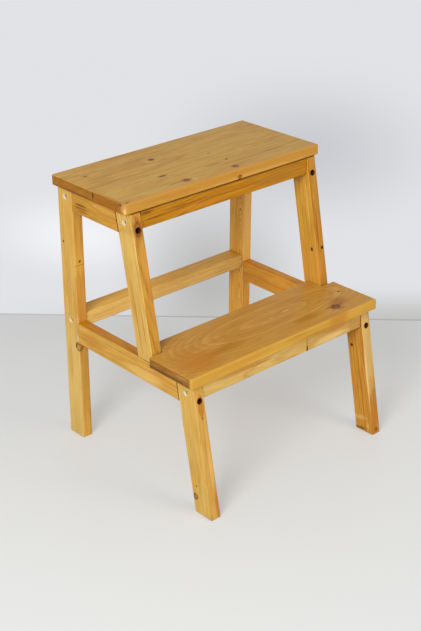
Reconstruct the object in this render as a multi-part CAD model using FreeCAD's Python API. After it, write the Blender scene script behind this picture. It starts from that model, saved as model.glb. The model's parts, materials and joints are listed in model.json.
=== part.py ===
"""Two-step stool of solid pine, modelled board by board with its screws and dowels.

Units are millimetres. +Z is up, +X runs along the steps and the user steps up from -Y.
The floor is z = 0. The origin lies midway between the front and the rear feet.
The left half is modelled, and the right half is its mirror image.
Fasteners and holes that show are round, and those hidden in the wood are ten-sided.
"""
import FreeCAD
import Part
import math
import os

# Overall size
overall_width = 430.0
overall_depth = 390.0
overall_height = 500.0

# Step boards
step_thickness = 18.0
top_step_rear_overhang = 0.6
lower_step_top = 252.0
lower_step_front_overhang = 9.3
lower_step_tongue = 33.6
side_overhang = 10.0
step_corner_radius = 3.0
notch_inner_radius = 1.5
notch_clearance = 0.5
board_edge_chamfer = 1.2

# Legs
leg_thickness = 20.0
leg_width = 40.0
front_leg_lean = 10.0
rear_leg_lean = 1.5
front_leg_spacing = 96.1
upper_leg_ahead_of_step = 0.9
bar_edge_chamfer = 1.2
foot_chamfer = 1.0

# Bars between the legs
side_bar_height = 40.0
cross_bar_depth = 35.0
cross_bar_height = 30.0
stretcher_height = 25.0
stretcher_above_rail = 13.0

# Connector screws
connector_length = 50.0
connector_head_diameter = 9.4
connector_head_height = 4.0
connector_shank_diameter = 6.4
connector_socket_across_flats = 5.0
connector_socket_depth = 3.0
connector_recess_diameter = 10.0
side_recess_depth = 3.5
edge_recess_depth = 18.0
screw_rise = 12.0

# Step screws, driven up from below
step_screw_length = 40.0
step_screw_head_diameter = 8.0
step_screw_head_height = 3.0
step_screw_shank_diameter = 4.4
step_screw_socket_across_flats = 3.5
step_screw_socket_depth = 2.0
step_screw_recess_diameter = 9.0
step_screw_bite = 13.0
step_screw_from_leg = 65.0

# Screw and dowel joint at the foot of each upper front leg
foot_screw_bite = 26.0
foot_screw_back_offset = 7.0
foot_dowel_front_offset = 9.5

# Dowels
dowel_diameter = 8.0
dowel_length = 30.0
cross_dowel_offset = 10.0
cross_dowel_rise = 18.0
stretcher_dowel_rise = 16.0
side_dowel_rise = 29.0

# Number of flat sides on what the wood hides
hidden_sides = 10

# Fits: all clearances are radial, except the end clearance
screw_clearance = 0.1
dowel_clearance = 0.1
hole_end_clearance = 0.5

# How far a cutter reaches past the face that it opens
cutter_overrun = 2.0

# Distance below which two places count as the same
same_place_tolerance = 1e-6

# Heights and positions that follow from the sizes above
top_underside = overall_height - step_thickness
lower_underside = lower_step_top - step_thickness
frame_half_width = overall_width / 2.0 - side_overhang
leg_inner_x = frame_half_width - leg_thickness
leg_middle_x = frame_half_width - leg_thickness / 2.0
step_screw_x = leg_inner_x - step_screw_from_leg
stretcher_bottom = lower_underside + stretcher_above_rail - stretcher_height
top_bar_bottom = top_underside - cross_bar_height
lower_bar_bottom = lower_underside - cross_bar_height
side_apron_bottom = top_underside - side_bar_height
side_rail_bottom = lower_underside - side_bar_height

X_AXIS = FreeCAD.Vector(1, 0, 0)
Y_AXIS = FreeCAD.Vector(0, 1, 0)
Z_AXIS = FreeCAD.Vector(0, 0, 1)


class Leg:
    """Side outline of a leaning leg: two parallel lines, a foot height and a top height."""

    def __init__(self, front_at_floor, lean, bottom, top):
        self.slope = math.tan(math.radians(lean))
        self.level_width = leg_width / math.cos(math.radians(lean))
        self.front_at_floor = front_at_floor
        self.bottom = bottom
        self.top = top

    def front(self, z):
        """Y of the front face at height z."""
        return self.front_at_floor + self.slope * z

    def rear(self, z):
        """Y of the rear face at height z."""
        return self.front(z) + self.level_width

    def middle(self, z):
        """Y midway between the two faces at height z."""
        return self.front(z) + self.level_width / 2.0

    def direction(self):
        """Direction of the leg's long edges."""
        return FreeCAD.Vector(0, self.slope, 1)


rear_leg_width = leg_width / math.cos(math.radians(rear_leg_lean))
LOWER_LEG = Leg(-overall_depth / 2.0, front_leg_lean, 0.0, lower_underside)
UPPER_LEG = Leg(-overall_depth / 2.0 + front_leg_spacing, front_leg_lean,
                lower_underside, top_underside)
REAR_LEG = Leg(overall_depth / 2.0 - rear_leg_width, -rear_leg_lean, 0.0, top_underside)
top_step_front = UPPER_LEG.front(top_underside) + upper_leg_ahead_of_step
top_step_rear = REAR_LEG.rear(top_underside) + top_step_rear_overhang
notch_y = UPPER_LEG.front(lower_underside) - notch_clearance
lower_step_front = LOWER_LEG.front(lower_underside) - lower_step_front_overhang
lower_step_rear = notch_y + lower_step_tongue
rail_screw_tip = LOWER_LEG.front(side_rail_bottom + screw_rise) + edge_recess_depth + connector_length
step_to_rail_screw_y = (rail_screw_tip + notch_y) / 2.0


def slab(low_x, high_x, outline):
    """Solid between two X values, from an outline of (y, z) points."""
    points = [FreeCAD.Vector(low_x, y, z) for y, z in outline]
    face = Part.Face(Part.makePolygon(points + points[:1]))
    return face.extrude(FreeCAD.Vector(high_x - low_x, 0, 0))


def edges_along(shape, direction):
    """Straight edges that run along the given direction."""
    found = []
    for edge in shape.Edges:
        run = edge.Vertexes[-1].Point.sub(edge.Vertexes[0].Point)
        if run.cross(direction).Length < same_place_tolerance * run.Length * direction.Length:
            found.append(edge)
    return found


def rim_edges(shape, height):
    """Edges that lie flat at one height."""
    found = []
    for edge in shape.Edges:
        box = edge.BoundBox
        if max(abs(box.ZMin - height), abs(box.ZMax - height)) < same_place_tolerance:
            found.append(edge)
    return found


def same_place(edge, others):
    """Whether an edge has the same midpoint as one of the others."""
    middle = edge.CenterOfMass
    gaps = [middle.distanceToPoint(other.CenterOfMass) for other in others]
    return min(gaps) < same_place_tolerance


def turned(shape, point, direction):
    """Place a shape that was built up along +Z so that it runs along direction from point."""
    placed = shape.copy()
    placed.Placement = FreeCAD.Placement(point, FreeCAD.Rotation(Z_AXIS, direction))
    return placed


def mirrored(shape):
    """Mirror image in the middle plane of the stool."""
    return shape.mirror(FreeCAD.Vector(0, 0, 0), X_AXIS)


def both_sides(shapes):
    """The given left-hand shapes with their mirror images, as one group."""
    return Part.makeCompound(list(shapes) + [mirrored(shape) for shape in shapes])


def prism(sides, radius, bottom, top):
    """Upright prism with flat sides that touch a circle of the given radius."""
    corner_radius = radius / math.cos(math.pi / sides)
    points = []
    for corner in range(sides):
        angle = 2.0 * math.pi * (corner + 0.5) / sides
        x = corner_radius * math.cos(angle)
        y = corner_radius * math.sin(angle)
        points.append(FreeCAD.Vector(x, y, bottom))
    face = Part.Face(Part.makePolygon(points + points[:1]))
    return face.extrude(FreeCAD.Vector(0, 0, top - bottom))


def rod(radius, bottom, top, hidden):
    """Upright rod, round where it shows and flat-sided where the wood hides it."""
    if hidden:
        return prism(hidden_sides, radius, bottom, top)
    return Part.makeCylinder(radius, top - bottom, FreeCAD.Vector(0, 0, bottom))


class Screw:
    """Screw whose head seats at z = 0 and whose shank runs up along +Z."""

    def __init__(self, length, head_diameter, head_height, shank_diameter, flats, socket_depth,
                 recess_diameter):
        self.head_radius = head_diameter / 2.0
        self.head_height = head_height
        self.shank_radius = shank_diameter / 2.0
        self.shank_length = length - head_height
        self.socket_radius = flats / 2.0
        self.socket_depth = socket_depth
        self.recess_radius = recess_diameter / 2.0

    def solid(self, point, direction, hidden=False):
        """The screw itself, with a hexagonal socket in its head."""
        head = rod(self.head_radius, -self.head_height, 0.0, hidden)
        shank = rod(self.shank_radius, 0.0, self.shank_length, True)
        socket_floor = self.socket_depth - self.head_height
        socket = prism(6, self.socket_radius, -self.head_height, socket_floor)
        return turned(head.fuse(shank).cut(socket), point, direction)

    def hole(self, point, direction, recess_depth, hidden=False):
        """Recess for the head and clearance hole for the shank, to cut out of the wood."""
        mouth = rod(self.recess_radius, -recess_depth - cutter_overrun, 0.0, hidden)
        end = self.shank_length + hole_end_clearance
        bore = rod(self.shank_radius + screw_clearance, 0.0, end, True)
        return turned(mouth.fuse(bore), point, direction)


CONNECTOR = Screw(connector_length, connector_head_diameter, connector_head_height,
                  connector_shank_diameter, connector_socket_across_flats,
                  connector_socket_depth, connector_recess_diameter)
STEP_SCREW = Screw(step_screw_length, step_screw_head_diameter, step_screw_head_height,
                   step_screw_shank_diameter, step_screw_socket_across_flats,
                   step_screw_socket_depth, step_screw_recess_diameter)


def dowel(middle, direction):
    """Dowel centred on a joint."""
    half = dowel_length / 2.0
    return turned(rod(dowel_diameter / 2.0, -half, half, True), middle, direction)


def dowel_hole(middle, direction):
    """Hole for a dowel, with a little room around it and at both ends."""
    half = dowel_length / 2.0 + hole_end_clearance
    radius = dowel_diameter / 2.0 + dowel_clearance
    return turned(rod(radius, -half, half, True), middle, direction)


def leaning_leg(leg):
    """Left-hand leg: two parallel faces, level ends and eased long edges."""
    outline = [
        (leg.front(leg.bottom), leg.bottom),
        (leg.rear(leg.bottom), leg.bottom),
        (leg.rear(leg.top), leg.top),
        (leg.front(leg.top), leg.top),
    ]
    bar = slab(-frame_half_width, -leg_inner_x, outline)
    return bar.makeChamfer(bar_edge_chamfer, edges_along(bar, leg.direction()))


def standing_leg(leg):
    """Left-hand leg whose foot stands on the floor and is chamfered all round."""
    bar = leaning_leg(leg)
    return bar.makeChamfer(foot_chamfer, rim_edges(bar, leg.bottom))


def side_bar(front_leg, bottom, top):
    """Left-hand bar from the front of the rear leg to the rear of a front leg."""
    outline = [
        (front_leg.rear(bottom), bottom),
        (REAR_LEG.front(bottom), bottom),
        (REAR_LEG.front(top), top),
        (front_leg.rear(top), top),
    ]
    bar = slab(-frame_half_width, -leg_inner_x, outline)
    return bar.makeChamfer(bar_edge_chamfer, edges_along(bar, Y_AXIS))


def cross_bar(leg, bottom, height):
    """Bar from the left leg to the right leg, centred on the width of the leg."""
    middle = leg.middle(bottom + height / 2.0)
    corner = FreeCAD.Vector(-leg_inner_x, middle - cross_bar_depth / 2.0, bottom)
    bar = Part.makeBox(2.0 * leg_inner_x, cross_bar_depth, height, corner)
    return bar.makeChamfer(bar_edge_chamfer, edges_along(bar, X_AXIS))


def top_step_board():
    """Rectangular board with rounded corners and eased edges."""
    corner = FreeCAD.Vector(-overall_width / 2.0, top_step_front, top_underside)
    depth = top_step_rear - top_step_front
    board = Part.makeBox(overall_width, depth, step_thickness, corner)
    board = board.makeFillet(step_corner_radius, edges_along(board, Z_AXIS))
    rims = rim_edges(board, top_underside) + rim_edges(board, overall_height)
    return board.makeChamfer(board_edge_chamfer, rims)


def lower_step_board():
    """Board whose rear part is narrow enough to pass between the upper front legs."""
    wide = overall_width / 2.0
    narrow = leg_inner_x - notch_clearance
    outline = [
        (-wide, lower_step_front),
        (wide, lower_step_front),
        (wide, notch_y),
        (narrow, notch_y),
        (narrow, lower_step_rear),
        (-narrow, lower_step_rear),
        (-narrow, notch_y),
        (-wide, notch_y),
    ]
    points = [FreeCAD.Vector(x, y, lower_underside) for x, y in outline]
    face = Part.Face(Part.makePolygon(points + points[:1]))
    board = face.extrude(FreeCAD.Vector(0, 0, step_thickness))
    notch_corners = []
    outer_corners = []
    for edge in edges_along(board, Z_AXIS):
        foot = edge.Vertexes[0]
        off_notch = max(abs(abs(foot.X) - narrow), abs(foot.Y - notch_y))
        if off_notch < same_place_tolerance:
            notch_corners.append(edge)
        else:
            outer_corners.append(edge)
    board = board.makeFillet(step_corner_radius, outer_corners)
    notch_corners = [edge for edge in board.Edges if same_place(edge, notch_corners)]
    board = board.makeFillet(notch_inner_radius, notch_corners)
    rims = rim_edges(board, lower_underside) + rim_edges(board, lower_step_top)
    return board.makeChamfer(board_edge_chamfer, rims)


def cross_joint(leg, bottom, height, dowel_side, dowel_rise):
    """Screw point and dowel point where a cross bar meets the left leg."""
    screw_z = bottom + screw_rise
    seat_x = -frame_half_width + side_recess_depth + connector_head_height
    screw_point = FreeCAD.Vector(seat_x, leg.middle(screw_z), screw_z)
    bar_middle = leg.middle(bottom + height / 2.0)
    dowel_y = bar_middle + dowel_side * cross_dowel_offset
    dowel_point = FreeCAD.Vector(-leg_inner_x, dowel_y, bottom + dowel_rise)
    return screw_point, dowel_point


def side_joint(leg, bottom, toward):
    """Screw point and dowel point where a side bar meets a left leg.

    toward is +1 where the screw is driven from the front and -1 from the rear.
    """
    screw_z = bottom + screw_rise
    dowel_z = bottom + side_dowel_rise
    recess = edge_recess_depth + connector_head_height
    if toward > 0:
        seat_y = leg.front(screw_z) + recess
        dowel_y = leg.rear(dowel_z)
    else:
        seat_y = leg.rear(screw_z) - recess
        dowel_y = leg.front(dowel_z)
    screw_point = FreeCAD.Vector(-leg_middle_x, seat_y, screw_z)
    return screw_point, FreeCAD.Vector(-leg_middle_x, dowel_y, dowel_z)


def step_screw_point(x, y, underside):
    """Seat of a screw that bites into a step board from below, left side only."""
    return FreeCAD.Vector(x, y, underside + step_screw_bite - STEP_SCREW.shank_length)


def drill(pieces, names, cutter, sides=1):
    """Cut one hole out of each named piece; with two sides, cut its mirror image too."""
    for name in names:
        pieces[name] = pieces[name].cut(cutter)
        if sides == 2:
            pieces[name] = pieces[name].cut(mirrored(cutter))


def build():
    """All nodes of the stool, by name."""
    left = {
        "rear_leg": standing_leg(REAR_LEG),
        "upper_front_leg": leaning_leg(UPPER_LEG),
        "lower_front_leg": standing_leg(LOWER_LEG),
        "side_apron": side_bar(UPPER_LEG, side_apron_bottom, top_underside),
        "side_rail": side_bar(LOWER_LEG, side_rail_bottom, lower_underside),
    }
    middle = {
        "front_apron": cross_bar(UPPER_LEG, top_bar_bottom, cross_bar_height),
        "rear_apron": cross_bar(REAR_LEG, top_bar_bottom, cross_bar_height),
        "rear_stretcher": cross_bar(REAR_LEG, stretcher_bottom, stretcher_height),
        "lower_front_apron": cross_bar(LOWER_LEG, lower_bar_bottom, cross_bar_height),
        "top_step": top_step_board(),
        "lower_step": lower_step_board(),
    }
    groups = {}

    cross_joints = [
        ("front_apron", "upper_front_leg",
         cross_joint(UPPER_LEG, top_bar_bottom, cross_bar_height, -1, cross_dowel_rise)),
        ("rear_apron", "rear_leg",
         cross_joint(REAR_LEG, top_bar_bottom, cross_bar_height, 1, cross_dowel_rise)),
        ("rear_stretcher", "rear_leg",
         cross_joint(REAR_LEG, stretcher_bottom, stretcher_height, 1, stretcher_dowel_rise)),
        ("lower_front_apron", "lower_front_leg",
         cross_joint(LOWER_LEG, lower_bar_bottom, cross_bar_height, -1, cross_dowel_rise)),
    ]
    screws = []
    dowels = []
    side_recess = side_recess_depth + connector_head_height
    for bar, leg, (screw_point, dowel_point) in cross_joints:
        hole = CONNECTOR.hole(screw_point, X_AXIS, side_recess)
        pin_hole = dowel_hole(dowel_point, X_AXIS)
        for cutter in (hole, pin_hole):
            drill(left, [leg], cutter)
            drill(middle, [bar], cutter, sides=2)
        screws.append(CONNECTOR.solid(screw_point, X_AXIS))
        dowels.append(dowel(dowel_point, X_AXIS))
    groups["cross_bar_screws"] = both_sides(screws)
    groups["cross_bar_dowels"] = both_sides(dowels)

    side_joints = [
        ("side_apron", "upper_front_leg", 1, side_joint(UPPER_LEG, side_apron_bottom, 1)),
        ("side_apron", "rear_leg", -1, side_joint(REAR_LEG, side_apron_bottom, -1)),
        ("side_rail", "lower_front_leg", 1, side_joint(LOWER_LEG, side_rail_bottom, 1)),
        ("side_rail", "rear_leg", -1, side_joint(REAR_LEG, side_rail_bottom, -1)),
    ]
    screws = []
    dowels = []
    edge_recess = edge_recess_depth + connector_head_height
    for bar, leg, toward, (screw_point, dowel_point) in side_joints:
        drive = FreeCAD.Vector(0, toward, 0)
        drill(left, [bar, leg], CONNECTOR.hole(screw_point, drive, edge_recess))
        drill(left, [bar, leg], dowel_hole(dowel_point, drive))
        screws.append(CONNECTOR.solid(screw_point, drive))
        dowels.append(dowel(dowel_point, drive))
    groups["side_frame_screws"] = both_sides(screws)
    groups["side_frame_dowels"] = both_sides(dowels)

    foot_middle = UPPER_LEG.middle(lower_underside)
    foot_seat_z = lower_underside + foot_screw_bite - CONNECTOR.shank_length
    foot_screw = FreeCAD.Vector(-leg_middle_x, foot_middle + foot_screw_back_offset, foot_seat_z)
    foot_dowel = FreeCAD.Vector(-leg_middle_x, foot_middle - foot_dowel_front_offset, lower_underside)
    foot_hole = CONNECTOR.hole(foot_screw, Z_AXIS, foot_seat_z - side_rail_bottom, hidden=True)
    drill(left, ["side_rail", "upper_front_leg"], foot_hole)
    drill(left, ["side_rail", "upper_front_leg"], dowel_hole(foot_dowel, Z_AXIS))
    groups["upper_leg_foot_screws"] = both_sides([CONNECTOR.solid(foot_screw, Z_AXIS, hidden=True)])
    groups["upper_leg_foot_dowels"] = both_sides([dowel(foot_dowel, Z_AXIS)])

    top_front = UPPER_LEG.middle(top_bar_bottom + cross_bar_height / 2.0)
    top_rear = REAR_LEG.middle(top_bar_bottom + cross_bar_height / 2.0)
    screws = []
    for bar, y in (("front_apron", top_front), ("rear_apron", top_rear)):
        point = step_screw_point(-step_screw_x, y, top_underside)
        hole = STEP_SCREW.hole(point, Z_AXIS, point.z - top_bar_bottom, hidden=True)
        drill(middle, [bar, "top_step"], hole, sides=2)
        screws.append(STEP_SCREW.solid(point, Z_AXIS, hidden=True))
    groups["top_step_screws"] = both_sides(screws)

    lower_front = LOWER_LEG.middle(lower_bar_bottom + cross_bar_height / 2.0)
    bar_point = step_screw_point(-step_screw_x, lower_front, lower_underside)
    bar_hole = STEP_SCREW.hole(bar_point, Z_AXIS, bar_point.z - lower_bar_bottom, hidden=True)
    drill(middle, ["lower_front_apron", "lower_step"], bar_hole, sides=2)
    rail_point = step_screw_point(-leg_middle_x, step_to_rail_screw_y, lower_underside)
    rail_hole = STEP_SCREW.hole(rail_point, Z_AXIS, rail_point.z - side_rail_bottom, hidden=True)
    drill(left, ["side_rail"], rail_hole)
    drill(middle, ["lower_step"], rail_hole, sides=2)
    screws = [STEP_SCREW.solid(point, Z_AXIS, hidden=True) for point in (bar_point, rail_point)]
    groups["lower_step_screws"] = both_sides(screws)

    nodes = dict(middle)
    for name, shape in left.items():
        nodes[name + "_left"] = shape
        nodes[name + "_right"] = mirrored(shape)
    nodes.update(groups)
    return nodes


def main():
    """Write one STEP file for each node."""
    os.makedirs("parts", exist_ok=True)
    for name, shape in build().items():
        shape.exportStep(os.path.join("parts", name + ".step"))


main()
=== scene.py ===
"""Looks of a two-step stool of solid pine: eased boards and bars, recessed screws and a plain studio.

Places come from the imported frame. Meshes are in metres. The grain of the wood, and every knot,
joint and stain on it, is given in millimetres in the frame's axes: +X along the steps, +Y to the
rear and +Z up.
"""
from __future__ import annotations

import json
import logging
import math
from collections.abc import Callable
from dataclasses import dataclass, field, replace
from enum import Enum
from functools import cached_property

import bpy
from mathutils import Matrix, Vector

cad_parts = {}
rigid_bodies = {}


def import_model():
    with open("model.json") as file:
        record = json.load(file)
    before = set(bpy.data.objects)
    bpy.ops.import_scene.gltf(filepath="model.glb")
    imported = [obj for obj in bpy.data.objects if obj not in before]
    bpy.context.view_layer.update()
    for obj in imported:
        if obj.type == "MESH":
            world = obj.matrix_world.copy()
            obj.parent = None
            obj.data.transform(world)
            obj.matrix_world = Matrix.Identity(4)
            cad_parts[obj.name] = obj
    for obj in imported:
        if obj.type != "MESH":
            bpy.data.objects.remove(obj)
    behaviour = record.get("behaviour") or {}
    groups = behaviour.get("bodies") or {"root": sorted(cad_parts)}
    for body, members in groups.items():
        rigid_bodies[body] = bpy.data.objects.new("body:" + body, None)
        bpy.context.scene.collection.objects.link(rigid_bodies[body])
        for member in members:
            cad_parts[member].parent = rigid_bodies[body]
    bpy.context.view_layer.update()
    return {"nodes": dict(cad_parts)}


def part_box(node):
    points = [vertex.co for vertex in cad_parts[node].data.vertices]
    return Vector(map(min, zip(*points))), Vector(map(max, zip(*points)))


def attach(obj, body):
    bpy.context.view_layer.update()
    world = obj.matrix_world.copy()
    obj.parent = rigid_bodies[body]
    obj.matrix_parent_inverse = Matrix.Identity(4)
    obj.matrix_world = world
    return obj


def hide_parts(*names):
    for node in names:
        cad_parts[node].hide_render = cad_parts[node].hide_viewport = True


LOG = logging.getLogger("stool")
MILLIMETRE = 0.001
BODY = "root"
PLACE_TOLERANCE = 0.00002
SMOOTH_ANGLE = math.radians(35.0)
UP = Vector((0.0, 0.0, 1.0))
RIGHT = Vector((1.0, 0.0, 0.0))
REARWARD = Vector((0.0, 1.0, 0.0))
FRONT_LEAN = 10.0
REAR_LEAN = -1.5

Colour = tuple[int, int, int]
Place = tuple[float, float, float]
Tint = tuple[float, float, float]
Piece = bpy.types.Object
Test = Callable[[list[Vector]], bool]
Socket = bpy.types.NodeSocket
Value = Socket | Vector | tuple | float | None


class Side(Enum):
    """Side frame that a piece belongs to, seen by the person who steps up."""

    LEFT = "left"
    RIGHT = "right"


class Run(Enum):
    """Way a piece lies: its axis along the grain and its axis across the broad face."""

    ALONG_STEPS = ((1.0, 0.0, 0.0), (0.0, 1.0, 0.0))
    ACROSS_STOOL = ((1.0, 0.0, 0.0), (0.0, 0.0, 1.0))
    UP_THE_LEG = ((0.0, 0.0, 1.0), (0.0, -1.0, 0.0))
    FRONT_TO_REAR = ((0.0, 1.0, 0.0), (0.0, 0.0, 1.0))


class Through(Enum):
    """Axes of the grain in which a knot has a size; it is endless along the others."""

    FACE = (1.0, 1.0, 0.0)
    EDGE = (1.0, 0.0, 1.0)
    CORNER = (1.0, 1.0, 1.0)


class Pattern(Enum):
    """Soft noises: fineness along, across and through a piece, number of layers and roughness."""

    SLOW_SWAY = ((0.008, 0.03, 0.03), 2.0, 0.5)
    QUICK_SWAY = ((0.035, 0.14, 0.14), 2.0, 0.5)
    PATCHES = ((0.012, 0.05, 0.05), 3.0, 0.5)
    STREAKS = ((0.006, 0.3, 0.3), 3.0, 0.65)
    FIBRES = ((0.03, 0.5, 0.5), 4.0, 0.65)
    RESIN = ((0.03, 0.9, 0.9), 1.0, 0.5)
    RUBBING = ((0.02, 0.3, 0.3), 3.0, 0.6)
    END_BANDS = ((0.5, 0.07, 0.4), 4.0, 0.65)
    STAIN_RIM = ((0.04, 0.2, 0.2), 3.0, 0.5)
    KNOT_RIM = ((0.25, 0.35, 0.35), 2.0, 0.5)
    SEAM_RIM = ((0.05, 0.12, 0.12), 2.0, 0.5)
    FINE_FIBRES = ((0.08, 2.2, 2.2), 2.0, 0.5)
    RIPPLES = ((0.02, 0.09, 0.09), 1.0, 0.5)
    ZINC_CLOUDS = ((0.4, 0.4, 0.4), 4.0, 0.5)
    ZINC_TURNING = ((1.8, 1.8, 1.8), 2.0, 0.5)
    BIRCH_FIBRES = ((0.9, 0.9, 0.9), 4.0, 0.5)
    FLOOR_CLOUDS = ((6.0, 6.0, 6.0), 3.0, 0.5)
    BACKDROP_CLOUDS = ((5.0, 5.0, 5.0), 2.0, 0.5)


def linear(colour: Colour) -> Tint:
    """Turn a display colour, from 0 to 255, into the linear one that a shader takes."""
    parts = [value / 255.0 for value in colour]
    return tuple(p / 12.92 if p <= 0.04045 else ((p + 0.055) / 1.055) ** 2.4 for p in parts)


class Bench:
    """The hand work on meshes: adding primitives, picking parts of them by place, shaping them."""

    @staticmethod
    def clear() -> None:
        """Leave edit mode and deselect everything."""
        if bpy.context.mode != "OBJECT":
            bpy.ops.object.mode_set(mode="OBJECT")
        bpy.ops.object.select_all(action="DESELECT")

    @staticmethod
    def take(*pieces: Piece) -> None:
        """Select some objects only, and make the first of them active.

        Args:
            pieces: The objects.
        """
        Bench.clear()
        for piece in pieces:
            piece.select_set(True)
        bpy.context.view_layer.objects.active = pieces[0]

    @staticmethod
    def settle(piece: Piece, name: str) -> Piece:
        """Name a piece, and put its place, turn and size into its mesh.

        Args:
            piece: The piece.
            name: Its name.

        Returns:
            The piece.
        """
        piece.name = name
        piece.data.name = name
        Bench.take(piece)
        bpy.ops.object.transform_apply(location=True, rotation=True, scale=True)
        return piece

    @staticmethod
    def block(name: str, low: Vector, high: Vector) -> Piece:
        """Add a block between two corners.

        Args:
            name: Name of the new piece.
            low: Lowest corner.
            high: Highest corner.

        Returns:
            The block.
        """
        Bench.clear()
        bpy.ops.mesh.primitive_cube_add(size=1.0, location=(low + high) / 2.0)
        piece = bpy.context.active_object
        piece.scale = high - low
        return Bench.settle(piece, name)

    @staticmethod
    def rod(name: str, start: Vector, end: Vector, radius: float, sides: int) -> Piece:
        """Add a rod from one point to another.

        Args:
            name: Name of the new piece.
            start: Middle of its first end.
            end: Middle of its last end.
            radius: Radius of the rod.
            sides: Number of flat sides.

        Returns:
            The rod.
        """
        Bench.clear()
        run = end - start
        bpy.ops.mesh.primitive_cylinder_add(
            vertices=sides, radius=radius, depth=run.length, location=(start + end) / 2.0)
        piece = bpy.context.active_object
        piece.rotation_mode = "QUATERNION"
        piece.rotation_quaternion = run.to_track_quat("Z", "Y")
        return Bench.settle(piece, name)

    @staticmethod
    def pick(piece: Piece, kind: str, test: Test) -> int:
        """Go into edit mode with the vertices, edges or faces that pass a test selected.

        Args:
            piece: The piece to work on.
            kind: VERT, EDGE or FACE.
            test: Takes the corner places of one element and says whether it is wanted.

        Returns:
            How many elements were selected.
        """
        Bench.take(piece)
        mesh = piece.data
        places = [vertex.co.copy() for vertex in mesh.vertices]
        lists = {"VERT": mesh.vertices, "EDGE": mesh.edges, "FACE": mesh.polygons}
        for elements in lists.values():
            elements.foreach_set("select", [False] * len(elements))
        count = 0
        for element in lists[kind]:
            corners = [element.index] if kind == "VERT" else element.vertices
            element.select = test([places[corner] for corner in corners])
            count += element.select
        bpy.context.tool_settings.mesh_select_mode = [kind == name for name in lists]
        bpy.ops.object.mode_set(mode="EDIT")
        return count

    @staticmethod
    def round_edges(piece: Piece, radius: float, segments: int, test: Test) -> None:
        """Round the edges that pass a test.

        Args:
            piece: The piece to work on.
            radius: Radius of the rounding.
            segments: Number of flats that make it.
            test: Takes the two end places of an edge.
        """
        if Bench.pick(piece, "EDGE", test):
            bpy.ops.mesh.bevel(offset=radius, segments=segments, profile=0.5, affect="EDGES")
        Bench.clear()

    @staticmethod
    def extrude(shift: Vector) -> None:
        """Draw the selected faces out by a shift."""
        bpy.ops.mesh.extrude_region_move(TRANSFORM_OT_translate={"value": shift})

    @staticmethod
    def join(pieces: list[Piece]) -> Piece:
        """Join several objects into the first of them.

        Args:
            pieces: The objects.

        Returns:
            The first of them.
        """
        Bench.take(*pieces)
        if len(pieces) > 1:
            bpy.ops.object.join()
        return pieces[0]

    @staticmethod
    def cut(piece: Piece, cutters: list[Piece]) -> None:
        """Cut the shapes of some objects out of a piece, and throw them away.

        Args:
            piece: The piece.
            cutters: The objects; without any the piece stays as it is.
        """
        if not cutters:
            return
        cutter = Bench.join(cutters)
        Bench.take(piece)
        modifier = piece.modifiers.new("holes", "BOOLEAN")
        modifier.operation = "DIFFERENCE"
        modifier.solver = "EXACT"
        modifier.object = cutter
        bpy.ops.object.modifier_apply(modifier=modifier.name)
        bpy.data.objects.remove(cutter)

    @staticmethod
    def smooth(piece: Piece, angle: float) -> None:
        """Shade a piece smooth up to an angle, and keep its flat faces flat.

        Args:
            piece: The piece.
            angle: Largest angle between faces that shade as one.
        """
        Bench.take(piece)
        bpy.ops.object.shade_smooth_by_angle(angle=angle)
        modifier = piece.modifiers.new("flat_faces", "WEIGHTED_NORMAL")
        modifier.keep_sharp = True
        modifier.weight = 100
        bpy.ops.object.modifier_apply(modifier=modifier.name)


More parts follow.
